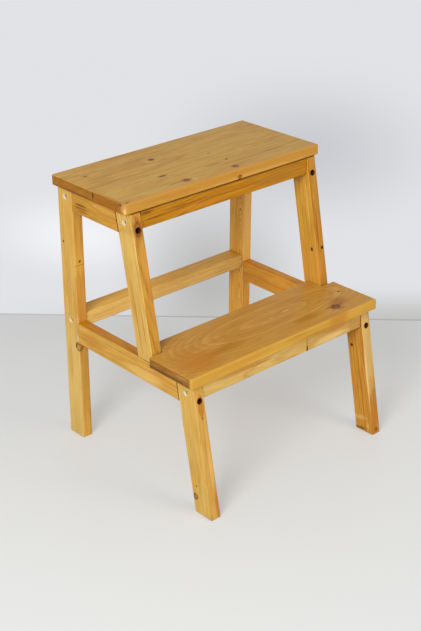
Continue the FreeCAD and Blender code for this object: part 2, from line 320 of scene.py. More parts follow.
class Wiring:
    """Adds shader nodes to one tree and joins them."""

    def __init__(self, tree: bpy.types.NodeTree) -> None:
        """Take the tree to work in, and empty it."""
        self.tree = tree
        tree.nodes.clear()

    def node(self, kind: str, inputs: dict[str | int, Value], **settings: object) -> bpy.types.Node:
        """Add a node.

        Args:
            kind: Its kind.
            inputs: Sockets or values for its inputs, by name or number; colours are linear.
            settings: Its other settings.

        Returns:
            The node.
        """
        made = self.tree.nodes.new("ShaderNode" + kind)
        for name, setting in settings.items():
            setattr(made, name, setting)
        for key, value in inputs.items():
            socket = made.inputs[key]
            if isinstance(value, Socket):
                self.tree.links.new(value, socket)
            else:
                socket.default_value = (*value, 1.0) if socket.type == "RGBA" else value
        return made

    def read(self, kind: str, output: str) -> Socket:
        """Add a node without inputs and take one of its outputs."""
        return self.node(kind, {}).outputs[output]

    def maths(self, operation: str, *values: Value, clamp: bool = False) -> Socket:
        """Add a math node on one, two or three numbers, whose result may be kept from 0 to 1."""
        made = self.node("Math", dict(enumerate(values)), operation=operation, use_clamp=clamp)
        return made.outputs[0]

    def vector(self, operation: str, *values: Value, result: int = 0) -> Socket:
        """Add a vector math node; its result 0 is a vector and its result 1 a number."""
        made = self.node("VectorMath", dict(enumerate(values)), operation=operation)
        return made.outputs[result]

    def scaled(self, vector: Value, factors: Value) -> Socket:
        """Multiply a vector by three numbers."""
        return self.vector("MULTIPLY", vector, factors)

    def levelled(self, vector: Value, level: Value) -> Socket:
        """Multiply a vector or colour by one number."""
        return self.node("VectorMath", {0: vector, "Scale": level}, operation="SCALE").outputs[0]

    def weighted(self, start: Value, *terms: tuple[Value, float]) -> Value:
        """Add more numbers to a first one, each with its weight.

        Args:
            start: The first number.
            terms: The other numbers, each with its weight.

        Returns:
            The sum.
        """
        for value, weight in terms:
            start = self.maths("MULTIPLY_ADD", value, weight, start)
        return start

    def parts(self, vector: Value) -> list[Socket]:
        """Split a vector into its three numbers."""
        return list(self.node("SeparateXYZ", {0: vector}).outputs)

    def joined(self, *numbers: Value) -> Socket:
        """Join three numbers into a vector."""
        return self.node("CombineXYZ", dict(enumerate(numbers))).outputs[0]

    def span(self, value: Value, low: float, high: float, start: float = 0.0, end: float = 1.0) -> Socket:
        """Map the range from low to high of a value smoothly onto the one from start to end."""
        numbers = dict(enumerate((value, low, high, start, end)))
        return self.node("MapRange", numbers, interpolation_type="SMOOTHSTEP").outputs[0]

    def noise(self, place: Value, pattern: Pattern, result: int = 0) -> Socket:
        """Add a soft noise.

        Args:
            place: Where it is read.
            pattern: Its pattern.
            result: Which output is wanted: 0 is a number and 1 a colour.

        Returns:
            That output.
        """
        scales, detail, rough = pattern.value
        inputs = {"Vector": self.scaled(place, scales), "Scale": 1.0, "Detail": detail, "Roughness": rough}
        return self.node("TexNoise", inputs).outputs[result]

    def apart(self, place: Value, middle: Value, shares: Value) -> Socket:
        """Distance of a place from a middle, with each axis multiplied by its share."""
        offset = self.vector("SUBTRACT", place, middle)
        return self.vector("LENGTH", self.scaled(offset, shares), result=1)

    def frayed(self, distance: Value, place: Value, pattern: Pattern, depth: float) -> Socket:
        """Make a distance uneven by a noise, so that the outline of a mark frays by a depth."""
        rough = self.maths("SUBTRACT", self.noise(place, pattern), 0.5)
        return self.maths("MULTIPLY_ADD", rough, depth, distance)

    def own_axes(self, position: Value, middle: Value, turn: Value, unit: float) -> Socket:
        """Place in turned axes round a middle, in a unit given in metres, of a position in metres."""
        inputs = {"Vector": position, "Location": middle, "Rotation": turn, "Scale": (unit,) * 3}
        return self.node("Mapping", inputs, vector_type="TEXTURE").outputs[0]

    def millimetres(self) -> Socket:
        """Position in the frame, in millimetres."""
        return self.scaled(self.read("TexCoord", "Object"), (1.0 / MILLIMETRE,) * 3)

    def mix(self, amount: Value, first: Value, second: Value) -> Socket:
        """Mix two colours by the amount of the second one."""
        return self.node("Mix", {0: amount, 6: first, 7: second}, data_type="RGBA").outputs[2]

    def shader(self, kind: str, inputs: dict[str | int, Value]) -> Socket:
        """Add a shader."""
        return self.node(kind, inputs).outputs[0]

    def surface(self, shader: Socket) -> None:
        """Join a shader to the material's output."""
        self.node("OutputMaterial", {"Surface": shader})

    def finish(self, colour: Value, rough: Value, height: Value, relief: tuple[float, float],
               others: dict[str, float]) -> None:
        """Join a shader with a finely bumped surface to the material's output.

        Args:
            colour: Colour of the surface.
            rough: Its roughness.
            height: Its height.
            relief: How strongly the height shows, and the height of 1 in metres.
            others: Other inputs of the shader, by name.
        """
        strength, distance = relief
        bump = self.node("Bump", {"Strength": strength, "Distance": distance, "Height": height})
        inputs = {"Base Color": colour, "Roughness": rough, "Normal": bump.outputs[0], **others}
        self.surface(self.shader("BsdfPrincipled", inputs))


def new_material(name: str) -> tuple[bpy.types.Material, Wiring]:
    """Make an empty node material and the wiring for it.

    Args:
        name: Name of the material.

    Returns:
        The material and its wiring.
    """
    material = bpy.data.materials.new(name)
    material.use_nodes = True
    return material, Wiring(material.node_tree)


@dataclass(frozen=True)
class Grain:
    """How one piece was sawn from its log, in millimetres along, across and through the piece."""

    run: Run
    middle: Place
    pith: tuple[float, float]
    lean: float = 0.0
    tilt: float = 0.0
    curve: float = 0.0
    crest: float = 0.0
    slant: float = 0.0
    sway: float = 1.0
    spacing: float = 3.8
    contrast: float = 0.5
    streaks: float = 0.3
    seed: float = 0.0

    def turn(self) -> Matrix:
        """Turn from the piece's own axes to the frame's axes.

        Returns:
            The turn.
        """
        lean = Matrix.Rotation(-math.radians(self.lean), 3, "X")
        along, across = (lean @ Vector(axis) for axis in self.run.value)
        return Matrix((along, across, along.cross(across))).transposed()

    def own(self, place: Place) -> Vector:
        """Place in the piece's own axes of a place in the frame, in millimetres."""
        return self.turn().transposed() @ (Vector(place) - Vector(self.middle))


@dataclass(frozen=True)
class Knot:
    """A knot: its place in the frame, its radius and how it shows."""

    place: Place
    radius: float
    through: Through = Through.FACE
    stretch: float = 1.3
    dark: float = 0.8
    rim: float = 0.9
    halo: float = 2.2
    haze: float = 0.35
    bulge: float = 0.8


@dataclass(frozen=True)
class Stain:
    """A soft patch: its place, its half sizes along, across and through, where 0 is endless."""

    place: Place
    reach: Place
    colour: Colour
    strength: float
    softness: float = 0.6


@dataclass(frozen=True)
class Joint:
    """A glued joint, fingered across a bar or straight between staves, darker beyond by a tone."""

    place: float
    tone: float
    between_staves: bool = False


@dataclass(frozen=True)
class Seam:
    """A plane where a piece meets another one, with the shade that is painted along it."""

    place: Vector
    facing: Vector
    reach: float = 1.7
    strength: float = 0.75


@dataclass(frozen=True)
class Recess:
    """A screw's recess: a place on its middle line and its direction, in millimetres, and its wall's
    colour, with the light or shade that falls into it painted on.
    """

    place: Vector
    drive: Vector
    radius: float
    wall: Colour


@dataclass(frozen=True)
class Pine:
    """Clear-lacquered pine of one piece."""

    grain: Grain
    colour: Colour
    # tint of the narrow faces: edge-grain colour, partly painted shade
    edge: Tint = (0.85, 0.75, 0.6)
    end: Colour = (176, 116, 50)
    late: Tint = (0.55, 0.36, 0.18)
    warm: Tint = (0.88, 0.74, 0.5)
    patchy: float = 0.6
    knots: tuple[Knot, ...] = ()
    stains: tuple[Stain, ...] = ()
    joints: tuple[Joint, ...] = ()

    def material(self, name: str, recesses: list[Recess], seams: list[Seam]) -> bpy.types.Material:
        """Build the material.

        Args:
            name: Name of the material.
            recesses: Recesses of the screws in the piece.
            seams: Planes where the piece meets others, along which shade is painted.

        Returns:
            The finished material.
        """
        material, wiring = new_material(name)
        PineWiring(wiring, self).build(recesses, seams)
        return material


FINGER_LENGTH = 4.5
FINGER_PITCH = 6.0
JOINT_SHIFT: Place = (57.0, 13.0, 29.0)
SMALL_KNOT = 2.5
KNOT_EDGE: Colour = (24, 10, 2)
KNOT_CORE: Colour = (84, 44, 8)
KNOT_HAZE: Colour = (146, 78, 10)
GLUE_LINE: Colour = (128, 80, 34)
DARKER_LENGTH: Colour = (176, 104, 30)
GRIME: Colour = (112, 62, 18)
# painted shade: dark brown laid along the seams where pieces meet
SEAM_SHADE: Colour = (62, 28, 6)
PALE_STREAK: Tint = (1.12, 1.2, 1.45)
# paler rounded edges: wear with a painted highlight
WEAR_AND_HIGHLIGHT: Tint = (1.12, 1.14, 1.2)
DULLED: Tint = (0.62, 0.5, 0.38)
LACQUER = {"Specular IOR Level": 0.2, "Coat Weight": 0.02, "Coat Roughness": 0.2}
LACQUER_RELIEF = (0.5, 0.00012)


class PineWiring:
    """Wires one pine material: rings, streaks, joints, knots, stains, end grain, painted shade along seams,
    painted light and shade in screw recesses, and lacquer.
    """

    def __init__(self, wiring: Wiring, pine: Pine) -> None:
        """Find places and directions on the piece, and start with its plain colour.

        Args:
            wiring: The wiring to work with.
            pine: The pine to show.
        """
        self.w = wiring
        self.pine = pine
        self.grain = pine.grain
        turn = pine.grain.turn()
        middle = Vector(pine.grain.middle) * MILLIMETRE
        self.position = wiring.millimetres()
        self.place = wiring.own_axes(wiring.read("TexCoord", "Object"), middle, turn.to_euler(), MILLIMETRE)
        normal = wiring.read("TexCoord", "Normal")
        self.facing = [wiring.maths("ABSOLUTE", wiring.vector("DOT_PRODUCT", normal, axis, result=1))
                       for axis in turn.col]
        self.colour: Value = linear(pine.colour)
        self.sunk: Value = 0.0

    def build(self, recesses: list[Recess], seams: list[Seam]) -> None:
        """Wire the whole material.

        Args:
            recesses: Recesses of the screws in the piece.
            seams: Planes where the piece meets others, along which shade is painted.
        """
        place, tone, glue = self.beyond_joints()
        knots = [(knot, *self.knot_marks(knot)) for knot in self.pine.knots]
        ring_tone = self.rings(place, [(knot, distance) for knot, distance, _ in knots])
        self.plain_wood(place, ring_tone, tone)
        self.edges()
        self.ends(ring_tone)
        for stain in self.pine.stains:
            self.stain(stain)
        self.lay(glue, GLUE_LINE)
        for knot, _, uneven in knots:
            self.knot(knot, uneven)
        for seam in seams:
            self.seam(seam)
        for recess in recesses:
            self.recess(recess)
        self.lacquer(ring_tone)

    def lay(self, amount: Value, colour: Colour) -> None:
        """Lay a colour over the wood, as thick as an amount from 0 to 1."""
        self.colour = self.w.mix(amount, self.colour, linear(colour))

    def tint(self, amount: Value, tint: Tint) -> None:
        """Multiply the wood's colour by a tint, as far as an amount from 0 to 1."""
        self.colour = self.w.mix(amount, self.colour, self.w.scaled(self.colour, tint))

    def seeded(self, place: Value, *steps: float) -> Socket:
        """Shift a place by the piece's seed, so that no two pieces show the same noise."""
        return self.w.vector("ADD", place, [self.grain.seed * step for step in steps])

    def beyond_joints(self) -> tuple[Value, Value, Value]:
        """Shift the grain and its tone beyond each joint.

        Returns:
            The shifted place, the tone and the strength of the glue lines.
        """
        w = self.w
        along, across, through = w.parts(self.place)
        tone = count = glue = 0.0
        for joint in self.pine.joints:
            distance = across
            if not joint.between_staves:
                teeth = w.maths("PINGPONG", through, FINGER_PITCH / 2.0)
                distance = w.maths("MULTIPLY_ADD", teeth, 2.0 * FINGER_LENGTH / FINGER_PITCH, along)
            gap = w.maths("SUBTRACT", distance, joint.place)
            beyond = w.maths("GREATER_THAN", gap, 0.0)
            tone = w.maths("MULTIPLY_ADD", beyond, joint.tone, tone)
            count = w.maths("ADD", count, beyond)
            near = w.span(w.maths("ABSOLUTE", gap), 0.15, 0.55, 0.55, 0.0)
            glue = w.maths("MAXIMUM", glue, near)
        return w.vector("ADD", self.place, w.levelled(JOINT_SHIFT, count)), tone, glue

    def knot_marks(self, knot: Knot) -> tuple[Socket, Socket]:
        """Distances round one knot.

        Args:
            knot: The knot.

        Returns:
            Distance from its middle in radii, and the same distance with an uneven outline.
        """
        along, across, through = (part / knot.radius for part in knot.through.value)
        shares = (along / knot.stretch, across, through)
        distance = self.w.apart(self.place, self.grain.own(knot.place), shares)
        return distance, self.w.frayed(distance, self.place, Pattern.KNOT_RIM, 1.1)

    def rings(self, place: Value, knots: list[tuple[Knot, Socket]]) -> Socket:
        """Growth rings, bent round the knots.

        Args:
            place: Place in the piece's own axes, shifted beyond joints.
            knots: Each knot with the distance from it.

        Returns:
            Tone of the rings from 0 to 1.
        """
        w = self.w
        grain = self.grain
        shifted = self.seeded(place, 31.0, 7.0, 17.0)
        for pattern, swing in ((Pattern.SLOW_SWAY, 9.0), (Pattern.QUICK_SWAY, 1.6)):
            noise = w.vector("SUBTRACT", w.noise(shifted, pattern, result=1), (0.5, 0.5, 0.5))
            place = w.vector("ADD", place, w.scaled(noise, (swing * grain.sway,) * 3))
        along, across, through = w.parts(place)
        run = w.maths("SUBTRACT", along, grain.crest)
        rise = w.maths("MULTIPLY", run, w.maths("MULTIPLY_ADD", run, grain.curve, grain.tilt))
        side = w.maths("SUBTRACT", across, grain.pith[0])
        side = w.maths("MULTIPLY_ADD", along, grain.slant, side)
        depth = w.maths("ADD", w.maths("SUBTRACT", through, grain.pith[1]), rise)
        distance = w.vector("LENGTH", w.joined(side, depth, 0.0), result=1)
        for knot, apart in knots:
            distance = w.maths("ADD", distance, w.span(apart, 0.6, 4.5, knot.bulge * knot.radius, 0.0))
        widths = w.maths("MULTIPLY_ADD", distance, 0.16, grain.seed)
        uneven = w.node("TexNoise", {"W": widths, "Scale": 1.0}, noise_dimensions="1D").outputs[0]
        ring = w.maths("DIVIDE", w.maths("MULTIPLY_ADD", uneven, 5.0, distance), grain.spacing)
        share = w.maths("FRACT", ring)
        line = w.maths("MULTIPLY", w.span(share, 0.3, 0.88), w.span(share, 0.9, 1.0, 1.0, 0.0))
        chance = w.node("TexWhiteNoise", {"W": w.maths("FLOOR", ring)}, noise_dimensions="1D").outputs[0]
        kept = w.maths("MULTIPLY_ADD", w.maths("POWER", chance, 2.0), 0.8, 0.2)
        return w.maths("MULTIPLY", line, kept)

    def plain_wood(self, place: Value, ring_tone: Value, tone: Value) -> None:
        """Colour the wood away from knots, stains and ends.

        Args:
            place: Place in the piece's own axes, shifted beyond joints.
            ring_tone: Tone of the rings.
            tone: How much darker the wood is beyond joints.
        """
        w = self.w
        streaks = self.grain.streaks
        shifted = self.seeded(place, 11.0, 23.0, 5.0)
        patches = w.noise(shifted, Pattern.PATCHES)
        self.tint(w.span(patches, 0.38, 0.68, 0.0, self.pine.patchy), self.pine.warm)
        streak = w.noise(shifted, Pattern.STREAKS)
        self.tint(w.span(streak, 0.25, 0.5, 0.4 * streaks, 0.0), PALE_STREAK)
        dark_streak = w.span(streak, 0.45, 0.75, 0.0, streaks)
        ring_part = w.maths("MULTIPLY", ring_tone, self.grain.contrast)
        self.tint(w.maths("ADD", ring_part, dark_streak, clamp=True), self.pine.late)
        self.lay(tone, DARKER_LENGTH)
        fibre = w.noise(shifted, Pattern.FIBRES)
        self.colour = w.levelled(self.colour, w.span(fibre, 0.25, 0.75, 0.86, 1.11))
        resin = w.noise(shifted, Pattern.RESIN)
        self.lay(w.span(resin, 0.64, 0.74, 0.0, streaks), GRIME)

    def edges(self) -> None:
        """Tint the narrow faces more orange and darker, partly edge-grain colour and partly painted shade,
        and make the rounded edges pale, partly wear and partly a painted highlight, with a few dark dents.
        """
        w = self.w
        along, across, through = self.facing
        # narrow faces: more orange edge grain, and darker as painted shade
        self.tint(w.span(across, 0.6, 0.85), self.pine.edge)
        flat = w.maths("MAXIMUM", w.maths("MAXIMUM", along, across), through)
        rounded = w.span(flat, 0.8, 0.985, 1.0, 0.0)
        rubbed = w.noise(self.place, Pattern.RUBBING)
        # pale rounded edges: partly wear, partly a painted highlight
        self.tint(w.maths("MULTIPLY", rounded, w.span(rubbed, 0.45, 0.65)), WEAR_AND_HIGHLIGHT)
        self.tint(w.maths("MULTIPLY", rounded, w.span(rubbed, 0.32, 0.45, 1.0, 0.0)), DULLED)

    def ends(self, ring_tone: Value) -> None:
        """Darken the end grain, which soaks up more lacquer, in uneven bands.

        Args:
            ring_tone: Tone of the rings.
        """
        w = self.w
        amount = w.span(self.facing[0], 0.75, 0.97, 0.0, 0.85)
        bands = w.noise(self.place, Pattern.END_BANDS)
        soaked = w.levelled(linear(self.pine.end), w.span(bands, 0.3, 0.7, 0.68, 1.3))
        ringed = w.mix(w.maths("MULTIPLY", ring_tone, 0.5), soaked, linear(GRIME))
        self.colour = w.mix(amount, self.colour, ringed)

    def stain(self, stain: Stain) -> None:
        """Lay a soft stain over the wood.

        Args:
            stain: The stain.
        """
        w = self.w
        shares = tuple(1.0 / reach if reach else 0.0 for reach in stain.reach)
        distance = w.apart(self.place, self.grain.own(stain.place), shares)
        uneven = w.frayed(distance, self.place, Pattern.STAIN_RIM, 0.8)
        inner, outer = 1.0 - stain.softness, 1.0 + 0.2 * stain.softness
        self.lay(w.span(uneven, inner, outer, stain.strength, 0.0), stain.colour)

    def knot(self, knot: Knot, uneven: Socket) -> None:
        """Draw one knot: its haze, its circled heart and its sunken dark edge.

        Args:
            knot: The knot.
            uneven: The uneven distance from it.
        """
        w = self.w
        self.lay(w.span(uneven, 0.8, knot.halo, knot.haze, 0.0), KNOT_HAZE)
        circles = w.maths("PINGPONG", w.maths("MULTIPLY", uneven, 2.0), 0.5)
        heart = w.mix(w.maths("MULTIPLY", circles, 1.2), linear(KNOT_CORE), linear(KNOT_HAZE))
        if knot.radius < SMALL_KNOT:
            heart = linear(KNOT_EDGE)
        self.colour = w.mix(w.span(uneven, 0.85, 1.1, knot.dark, 0.0), self.colour, heart)
        edge = w.maths("MULTIPLY", w.span(uneven, 0.6, 0.95), w.span(uneven, 0.95, 1.2, 1.0, 0.0))
        self.lay(w.maths("MULTIPLY", edge, knot.rim), KNOT_EDGE)
        self.sunk = w.maths("MAXIMUM", edge, self.sunk)

    def seam(self, seam: Seam) -> None:
        """Paint shade along a seam, darkening the wood where it meets another piece.

        Args:
            seam: The seam.
        """
        w = self.w
        offset = w.vector("SUBTRACT", self.position, seam.place)
        apart = w.maths("ABSOLUTE", w.vector("DOT_PRODUCT", offset, seam.facing, result=1))
        uneven = w.frayed(apart, self.place, Pattern.SEAM_RIM, 1.6)
        # painted shade: darken the wood close to the seam
        self.lay(w.span(uneven, 0.3 * seam.reach, seam.reach, seam.strength, 0.0), SEAM_SHADE)

    def recess(self, recess: Recess) -> None:
        """Colour the wall and the rim of a screw's recess with its painted light or painted shade.

        Args:
            recess: The recess.
        """
        w = self.w
        offset = w.vector("SUBTRACT", self.position, recess.place)
        apart = w.vector("LENGTH", w.vector("CROSS_PRODUCT", offset, recess.drive), result=1)
        # paint the recess wall with its painted light or painted shade
        self.lay(w.span(apart, recess.radius + 0.1, recess.radius + 0.7, 1.0, 0.0), recess.wall)

    def lacquer(self, ring_tone: Value) -> None:
        """Lay the satin lacquer over the wood.

        Args:
            ring_tone: Tone of the rings.
        """
        w = self.w
        fibre = w.noise(self.place, Pattern.FINE_FIBRES)
        ripple = w.noise(self.place, Pattern.RIPPLES)
        height = w.weighted(0.0, (fibre, 0.35), (ring_tone, -0.35), (ripple, 2.0), (self.sunk, -1.2))
        rough = w.weighted(0.34, (ripple, 0.14), (fibre, 0.08))
        w.finish(self.colour, rough, height, LACQUER_RELIEF, LACQUER)


@dataclass(frozen=True)
class ZincPlate:
    """Bright zinc plating on steel screws, a little dulled."""

    colour: Colour = (196, 192, 182)
    dull: Colour = (140, 134, 122)
    metallic: float = 0.7
    relief: tuple[float, float] = (0.3, 0.00005)

    def material(self, name: str) -> bpy.types.Material:
        """Build the material.

        Args:
            name: Name of the material.

        Returns:
            The material.
        """
        material, w = new_material(name)
        place = w.millimetres()
        cloud = w.noise(place, Pattern.ZINC_CLOUDS)
        colour = w.mix(w.span(cloud, 0.4, 0.7), linear(self.colour), linear(self.dull))
        turning = w.noise(place, Pattern.ZINC_TURNING)
        w.finish(colour, w.weighted(0.2, (cloud, 0.3)), turning, self.relief, {"Metallic": self.metallic})
        return material


@dataclass(frozen=True)
class BareBirch:
    """Unfinished birch of the dowels."""

    pale: Colour = (226, 196, 150)
    brown: Colour = (196, 158, 108)
    relief: tuple[float, float] = (0.4, 0.0001)

    def material(self, name: str) -> bpy.types.Material:
        """Build the material.

        Args:
            name: Name of the material.

        Returns:
            The material.
        """
        material, w = new_material(name)
        fibre = w.noise(w.millimetres(), Pattern.BIRCH_FIBRES)
        colour = w.mix(w.span(fibre, 0.35, 0.65), linear(self.pale), linear(self.brown))
        w.finish(colour, w.weighted(0.55, (fibre, 0.2)), fibre, self.relief, {})
        return material


@dataclass(frozen=True)
class ScrewSizes:
    """Radius of a screw's recess, and the radius across flats and the depth of its socket."""

    recess_radius: float
    socket_radius: float
    socket_depth: float


class ScrewKind(Enum):
    """Screws of the stool."""

    CONNECTOR = ScrewSizes(0.005, 0.0025, 0.003)
    STEP_SCREW = ScrewSizes(0.0045, 0.00175, 0.002)


SCREW_NODES = {
    "cross_bar_screws": ScrewKind.CONNECTOR,
    "side_frame_screws": ScrewKind.CONNECTOR,
    "upper_leg_foot_screws": ScrewKind.CONNECTOR,
    "top_step_screws": ScrewKind.STEP_SCREW,
    "lower_step_screws": ScrewKind.STEP_SCREW,
}
DOWEL_NODES = ("cross_bar_dowels", "side_frame_dowels", "upper_leg_foot_dowels")
HEAD_SHARE = 0.93
LONG_EDGE_SHARE = 0.6
UPRIGHT_SHARE = 0.9

Box = tuple[Vector, Vector]


def box_of(places: list[Vector]) -> Box:
    """Lowest and highest corner of the box round some places."""
    axes = list(zip(*places))
    return Vector([min(axis) for axis in axes]), Vector([max(axis) for axis in axes])


def piece_box(piece: Piece) -> Box:
    """Lowest and highest corner of a piece's mesh."""
    return box_of([vertex.co for vertex in piece.data.vertices])


@dataclass(frozen=True)
class Fastener:
    """One screw or dowel as it lies in the frame, from its head to its tip."""

    start: Vector
    seat: Vector
    end: Vector
    head_radius: float
    shank_radius: float
    sizes: ScrewSizes | None = None

    @classmethod
    def measured(cls, places: list[Vector], sizes: ScrewSizes | None = None) -> Fastener:
        """Measure a fastener that runs along one of the frame's axes.

        Args:
            places: Corner places of its solid.
            sizes: The sizes of its kind, for a screw.

        Returns:
            The fastener.
        """
        low, high = box_of(places)
        middle = (low + high) / 2.0
        run = max(range(3), key=lambda axis: high[axis] - low[axis])
        direction = Vector([float(axis == run) for axis in range(3)])

        def radius_at(place: Vector) -> float:
            """Distance of a place from the middle line."""
            offset = place - middle
            return (offset - direction * offset.dot(direction)).length

        widest = max(radius_at(place) for place in places)
        head = [place for place in places if radius_at(place) > HEAD_SHARE * widest]
        levels = [(place - middle).dot(direction) for place in head]
        half = (high[run] - low[run]) / 2.0
        if abs(max(levels) - half) < abs(min(levels) + half):
            direction = -direction
            levels = [-level for level in levels]
        tip = [place for place in places if (place - middle).dot(direction) > half - PLACE_TOLERANCE]
        return cls(middle - direction * half, middle + direction * max(levels), middle + direction * half,
                   widest, max(radius_at(place) for place in tip), sizes)

    @cached_property
    def drive(self) -> Vector:
        """Direction from its head to its tip."""
        return (self.end - self.start).normalized()

    @property
    def head(self) -> Fastener:
        """Its head alone, as a thin rod."""
        return replace(self, end=self.seat, shank_radius=0.0)

    @property
    def stand(self) -> Matrix:
        """Move that brings a fastener from the origin, pointing up, to this one's place."""
        turn = self.drive.to_track_quat("Z", "Y").to_matrix().to_4x4()
        return Matrix.Translation(self.start) @ turn

    def depth(self, place: Vector) -> float:
        """Depth of a place below the face of the head."""
        return (place - self.start).dot(self.drive)

    def meets(self, box: Box) -> bool:
        """Whether it reaches into a box.

        Args:
            box: Lowest and highest corner.

        Returns:
            True where it does.
        """
        low, high = box
        near, far = box_of([self.start, self.end])
        return all(near[axis] - self.shank_radius <= high[axis]
                   and far[axis] + self.shank_radius >= low[axis] for axis in range(3))


def solids_of(source: Piece) -> list[list[Vector]]:
    """Corner places of each separate solid in a node of the frame.

    Args:
        source: The node's object, which stays as it is.

    Returns:
        One list of places for each solid.
    """
    Bench.clear()
    copy = source.copy()
    copy.data = source.data.copy()
    copy.parent = None
    bpy.context.scene.collection.objects.link(copy)
    before = set(bpy.context.scene.objects)
    Bench.pick(copy, "VERT", lambda places: True)
    bpy.ops.mesh.remove_doubles(threshold=PLACE_TOLERANCE / 10.0)
    bpy.ops.mesh.separate(type="LOOSE")
    Bench.clear()
    parts = [copy] + [part for part in bpy.context.scene.objects if part not in before]
    solids = [[vertex.co.copy() for vertex in part.data.vertices] for part in parts]
    for part in parts:
        bpy.data.objects.remove(part)
    return solids


@dataclass
class Fastenings:
    """All screws and dowels: measured in the frame, drilled for, and modelled again in detail."""

    nodes: dict[str, Piece]
    fit: float = 0.0001
    recess_run: float = 0.03
    hole_sides: int = 48
    rim_rounding: float = 0.0004
    rim_flats: int = 3
    least_recess: float = 0.002
    head_rounding: float = 0.0005
    tip_share: float = 0.06
    tip_width: float = 0.55
    dowel_bevel: float = 0.001
    dowel_sides: int = 24
    # recess walls: pale bare wood painted as brightly lit in the side faces, dark painted shade in the deep
    # recesses of the front faces
    painted_lit_wall: Colour = (246, 232, 190)
    painted_shade_wall: Colour = (84, 38, 10)
    screws: dict[str, list[Fastener]] = field(default_factory=dict)
    dowels: dict[str, list[Fastener]] = field(default_factory=dict)

    def measure(self) -> None:
        """Read every screw and dowel from the frame."""
        for node, kind in SCREW_NODES.items():
            solids = solids_of(self.nodes[node])
            self.screws[node] = [Fastener.measured(places, kind.value) for places in solids]
        for node in DOWEL_NODES:
            self.dowels[node] = [Fastener.measured(places) for places in solids_of(self.nodes[node])]
        LOG.info("measured the screws and dowels of %d nodes", len(self.screws) + len(self.dowels))

    def recesses_in(self, piece: Piece) -> list[Recess]:
        """Recesses of the screws whose heads lie in a piece.

        Args:
            piece: The piece of wood.

        Returns:
            Its recesses, in millimetres.
        """
        box = piece_box(piece)
        found = []
        for screw in sum(self.screws.values(), []):
            if screw.head.meets(box):
                # side-face recesses get the painted lit wall, front-face recesses the painted shade wall
                wall = self.painted_lit_wall if abs(screw.drive.x) > 0.5 else self.painted_shade_wall
                radius = screw.sizes.recess_radius / MILLIMETRE
                found.append(Recess(screw.start / MILLIMETRE, screw.drive, radius, wall))
        return found

    def drill(self, piece: Piece) -> None:
        """Drill the recesses and holes of a piece and ease the rims that show.

        Args:
            piece: The piece of wood.
        """
        box = piece_box(piece)
        screws = [screw for screw in sum(self.screws.values(), []) if screw.meets(box)]
        dowels = [dowel for dowel in sum(self.dowels.values(), []) if dowel.meets(box)]
        recesses = []
        for screw in screws:
            mouth = screw.start - screw.drive * self.recess_run
            radius = screw.sizes.recess_radius
            recesses.append(Bench.rod("recess", mouth, screw.seat, radius, self.hole_sides))
        bores = []
        for fastener in screws + dowels:
            start = fastener.seat if fastener.sizes else fastener.start
            room = fastener.drive * self.fit
            bores.append(Bench.rod("bore", start - room, fastener.end + room,
                                   fastener.shank_radius + self.fit, self.hole_sides // 2))
        Bench.cut(piece, recesses)
        Bench.cut(piece, bores)
        Bench.round_edges(piece, self.rim_rounding, self.rim_flats, lambda ends: self.on_rim(ends, screws))

    def on_rim(self, ends: list[Vector], screws: list[Fastener]) -> bool:
        """Whether an edge lies on the rim of a recess.

        Args:
            ends: The two end places of the edge.
            screws: The screws in the piece.

        Returns:
            True where it does.
        """
        for screw in screws:
            depths = [screw.depth(end) for end in ends]
            if max(depths) >= -self.least_recess:
                continue
            radius = screw.sizes.recess_radius
            lines = [end - screw.start - screw.drive * depth for end, depth in zip(ends, depths)]
            if max(abs(line.length - radius) for line in lines) < PLACE_TOLERANCE:
                return (ends[1] - ends[0]).length < radius / 2.0
        return False

    def screw_shape(self, screw: Fastener) -> Piece:
        """Model one screw: rounded head with a hexagonal socket, shank and pointed tip.

        Args:
            screw: Its place and size.

        Returns:
            The screw.
        """
        head = Bench.rod("screw", screw.start, screw.seat, screw.head_radius, self.hole_sides)
        Bench.round_edges(head, self.head_rounding, self.rim_flats,
                          lambda ends: max(map(screw.depth, ends)) < PLACE_TOLERANCE)
        seat = screw.depth(screw.seat)
        Bench.pick(head, "FACE", lambda corners: min(map(screw.depth, corners)) > seat - PLACE_TOLERANCE)
        bpy.ops.mesh.inset(thickness=screw.head_radius - screw.shank_radius)
        run = screw.end - screw.seat
        Bench.extrude(run * (1.0 - self.tip_share))
        Bench.extrude(run * self.tip_share)
        bpy.ops.transform.resize(value=(self.tip_width,) * 3)
        Bench.clear()
        depth = screw.drive * screw.sizes.socket_depth
        corner_radius = screw.sizes.socket_radius / math.cos(math.pi / 6.0)
        Bench.cut(head, [Bench.rod("socket", screw.start - depth, screw.start + depth, corner_radius, 6)])
        return head

    def dowel_shape(self, dowel: Fastener) -> Piece:
        """Model one dowel with bevelled ends.

        Args:
            dowel: Its place and size.

        Returns:
            The dowel.
        """
        pin = Bench.rod("dowel", dowel.start, dowel.end, dowel.head_radius, self.dowel_sides)
        half = (dowel.end - dowel.start).length / 2.0

        def off_end(place: Vector) -> float:
            """Distance of a place from the nearer end."""
            return half - abs(dowel.depth(place) - half)

        Bench.round_edges(pin, self.dowel_bevel, 1, lambda ends: max(map(off_end, ends)) < PLACE_TOLERANCE)
        return pin

    @staticmethod
    def repeated(model: Piece, fasteners: list[Fastener]) -> Piece:
        """Set copies of the first fastener of a node at the places of the others.

        Args:
            model: The first fastener as it lies in the frame.
            fasteners: All fasteners of the node, which have one size.

        Returns:
            All of them as one piece.
        """
        pieces = [model]
        for fastener in fasteners[1:]:
            copy = model.copy()
            copy.data = model.data.copy()
            bpy.context.scene.collection.objects.link(copy)
            copy.matrix_world = fastener.stand @ fasteners[0].stand.inverted()
            pieces.append(Bench.settle(copy, model.name))
        return Bench.join(pieces)

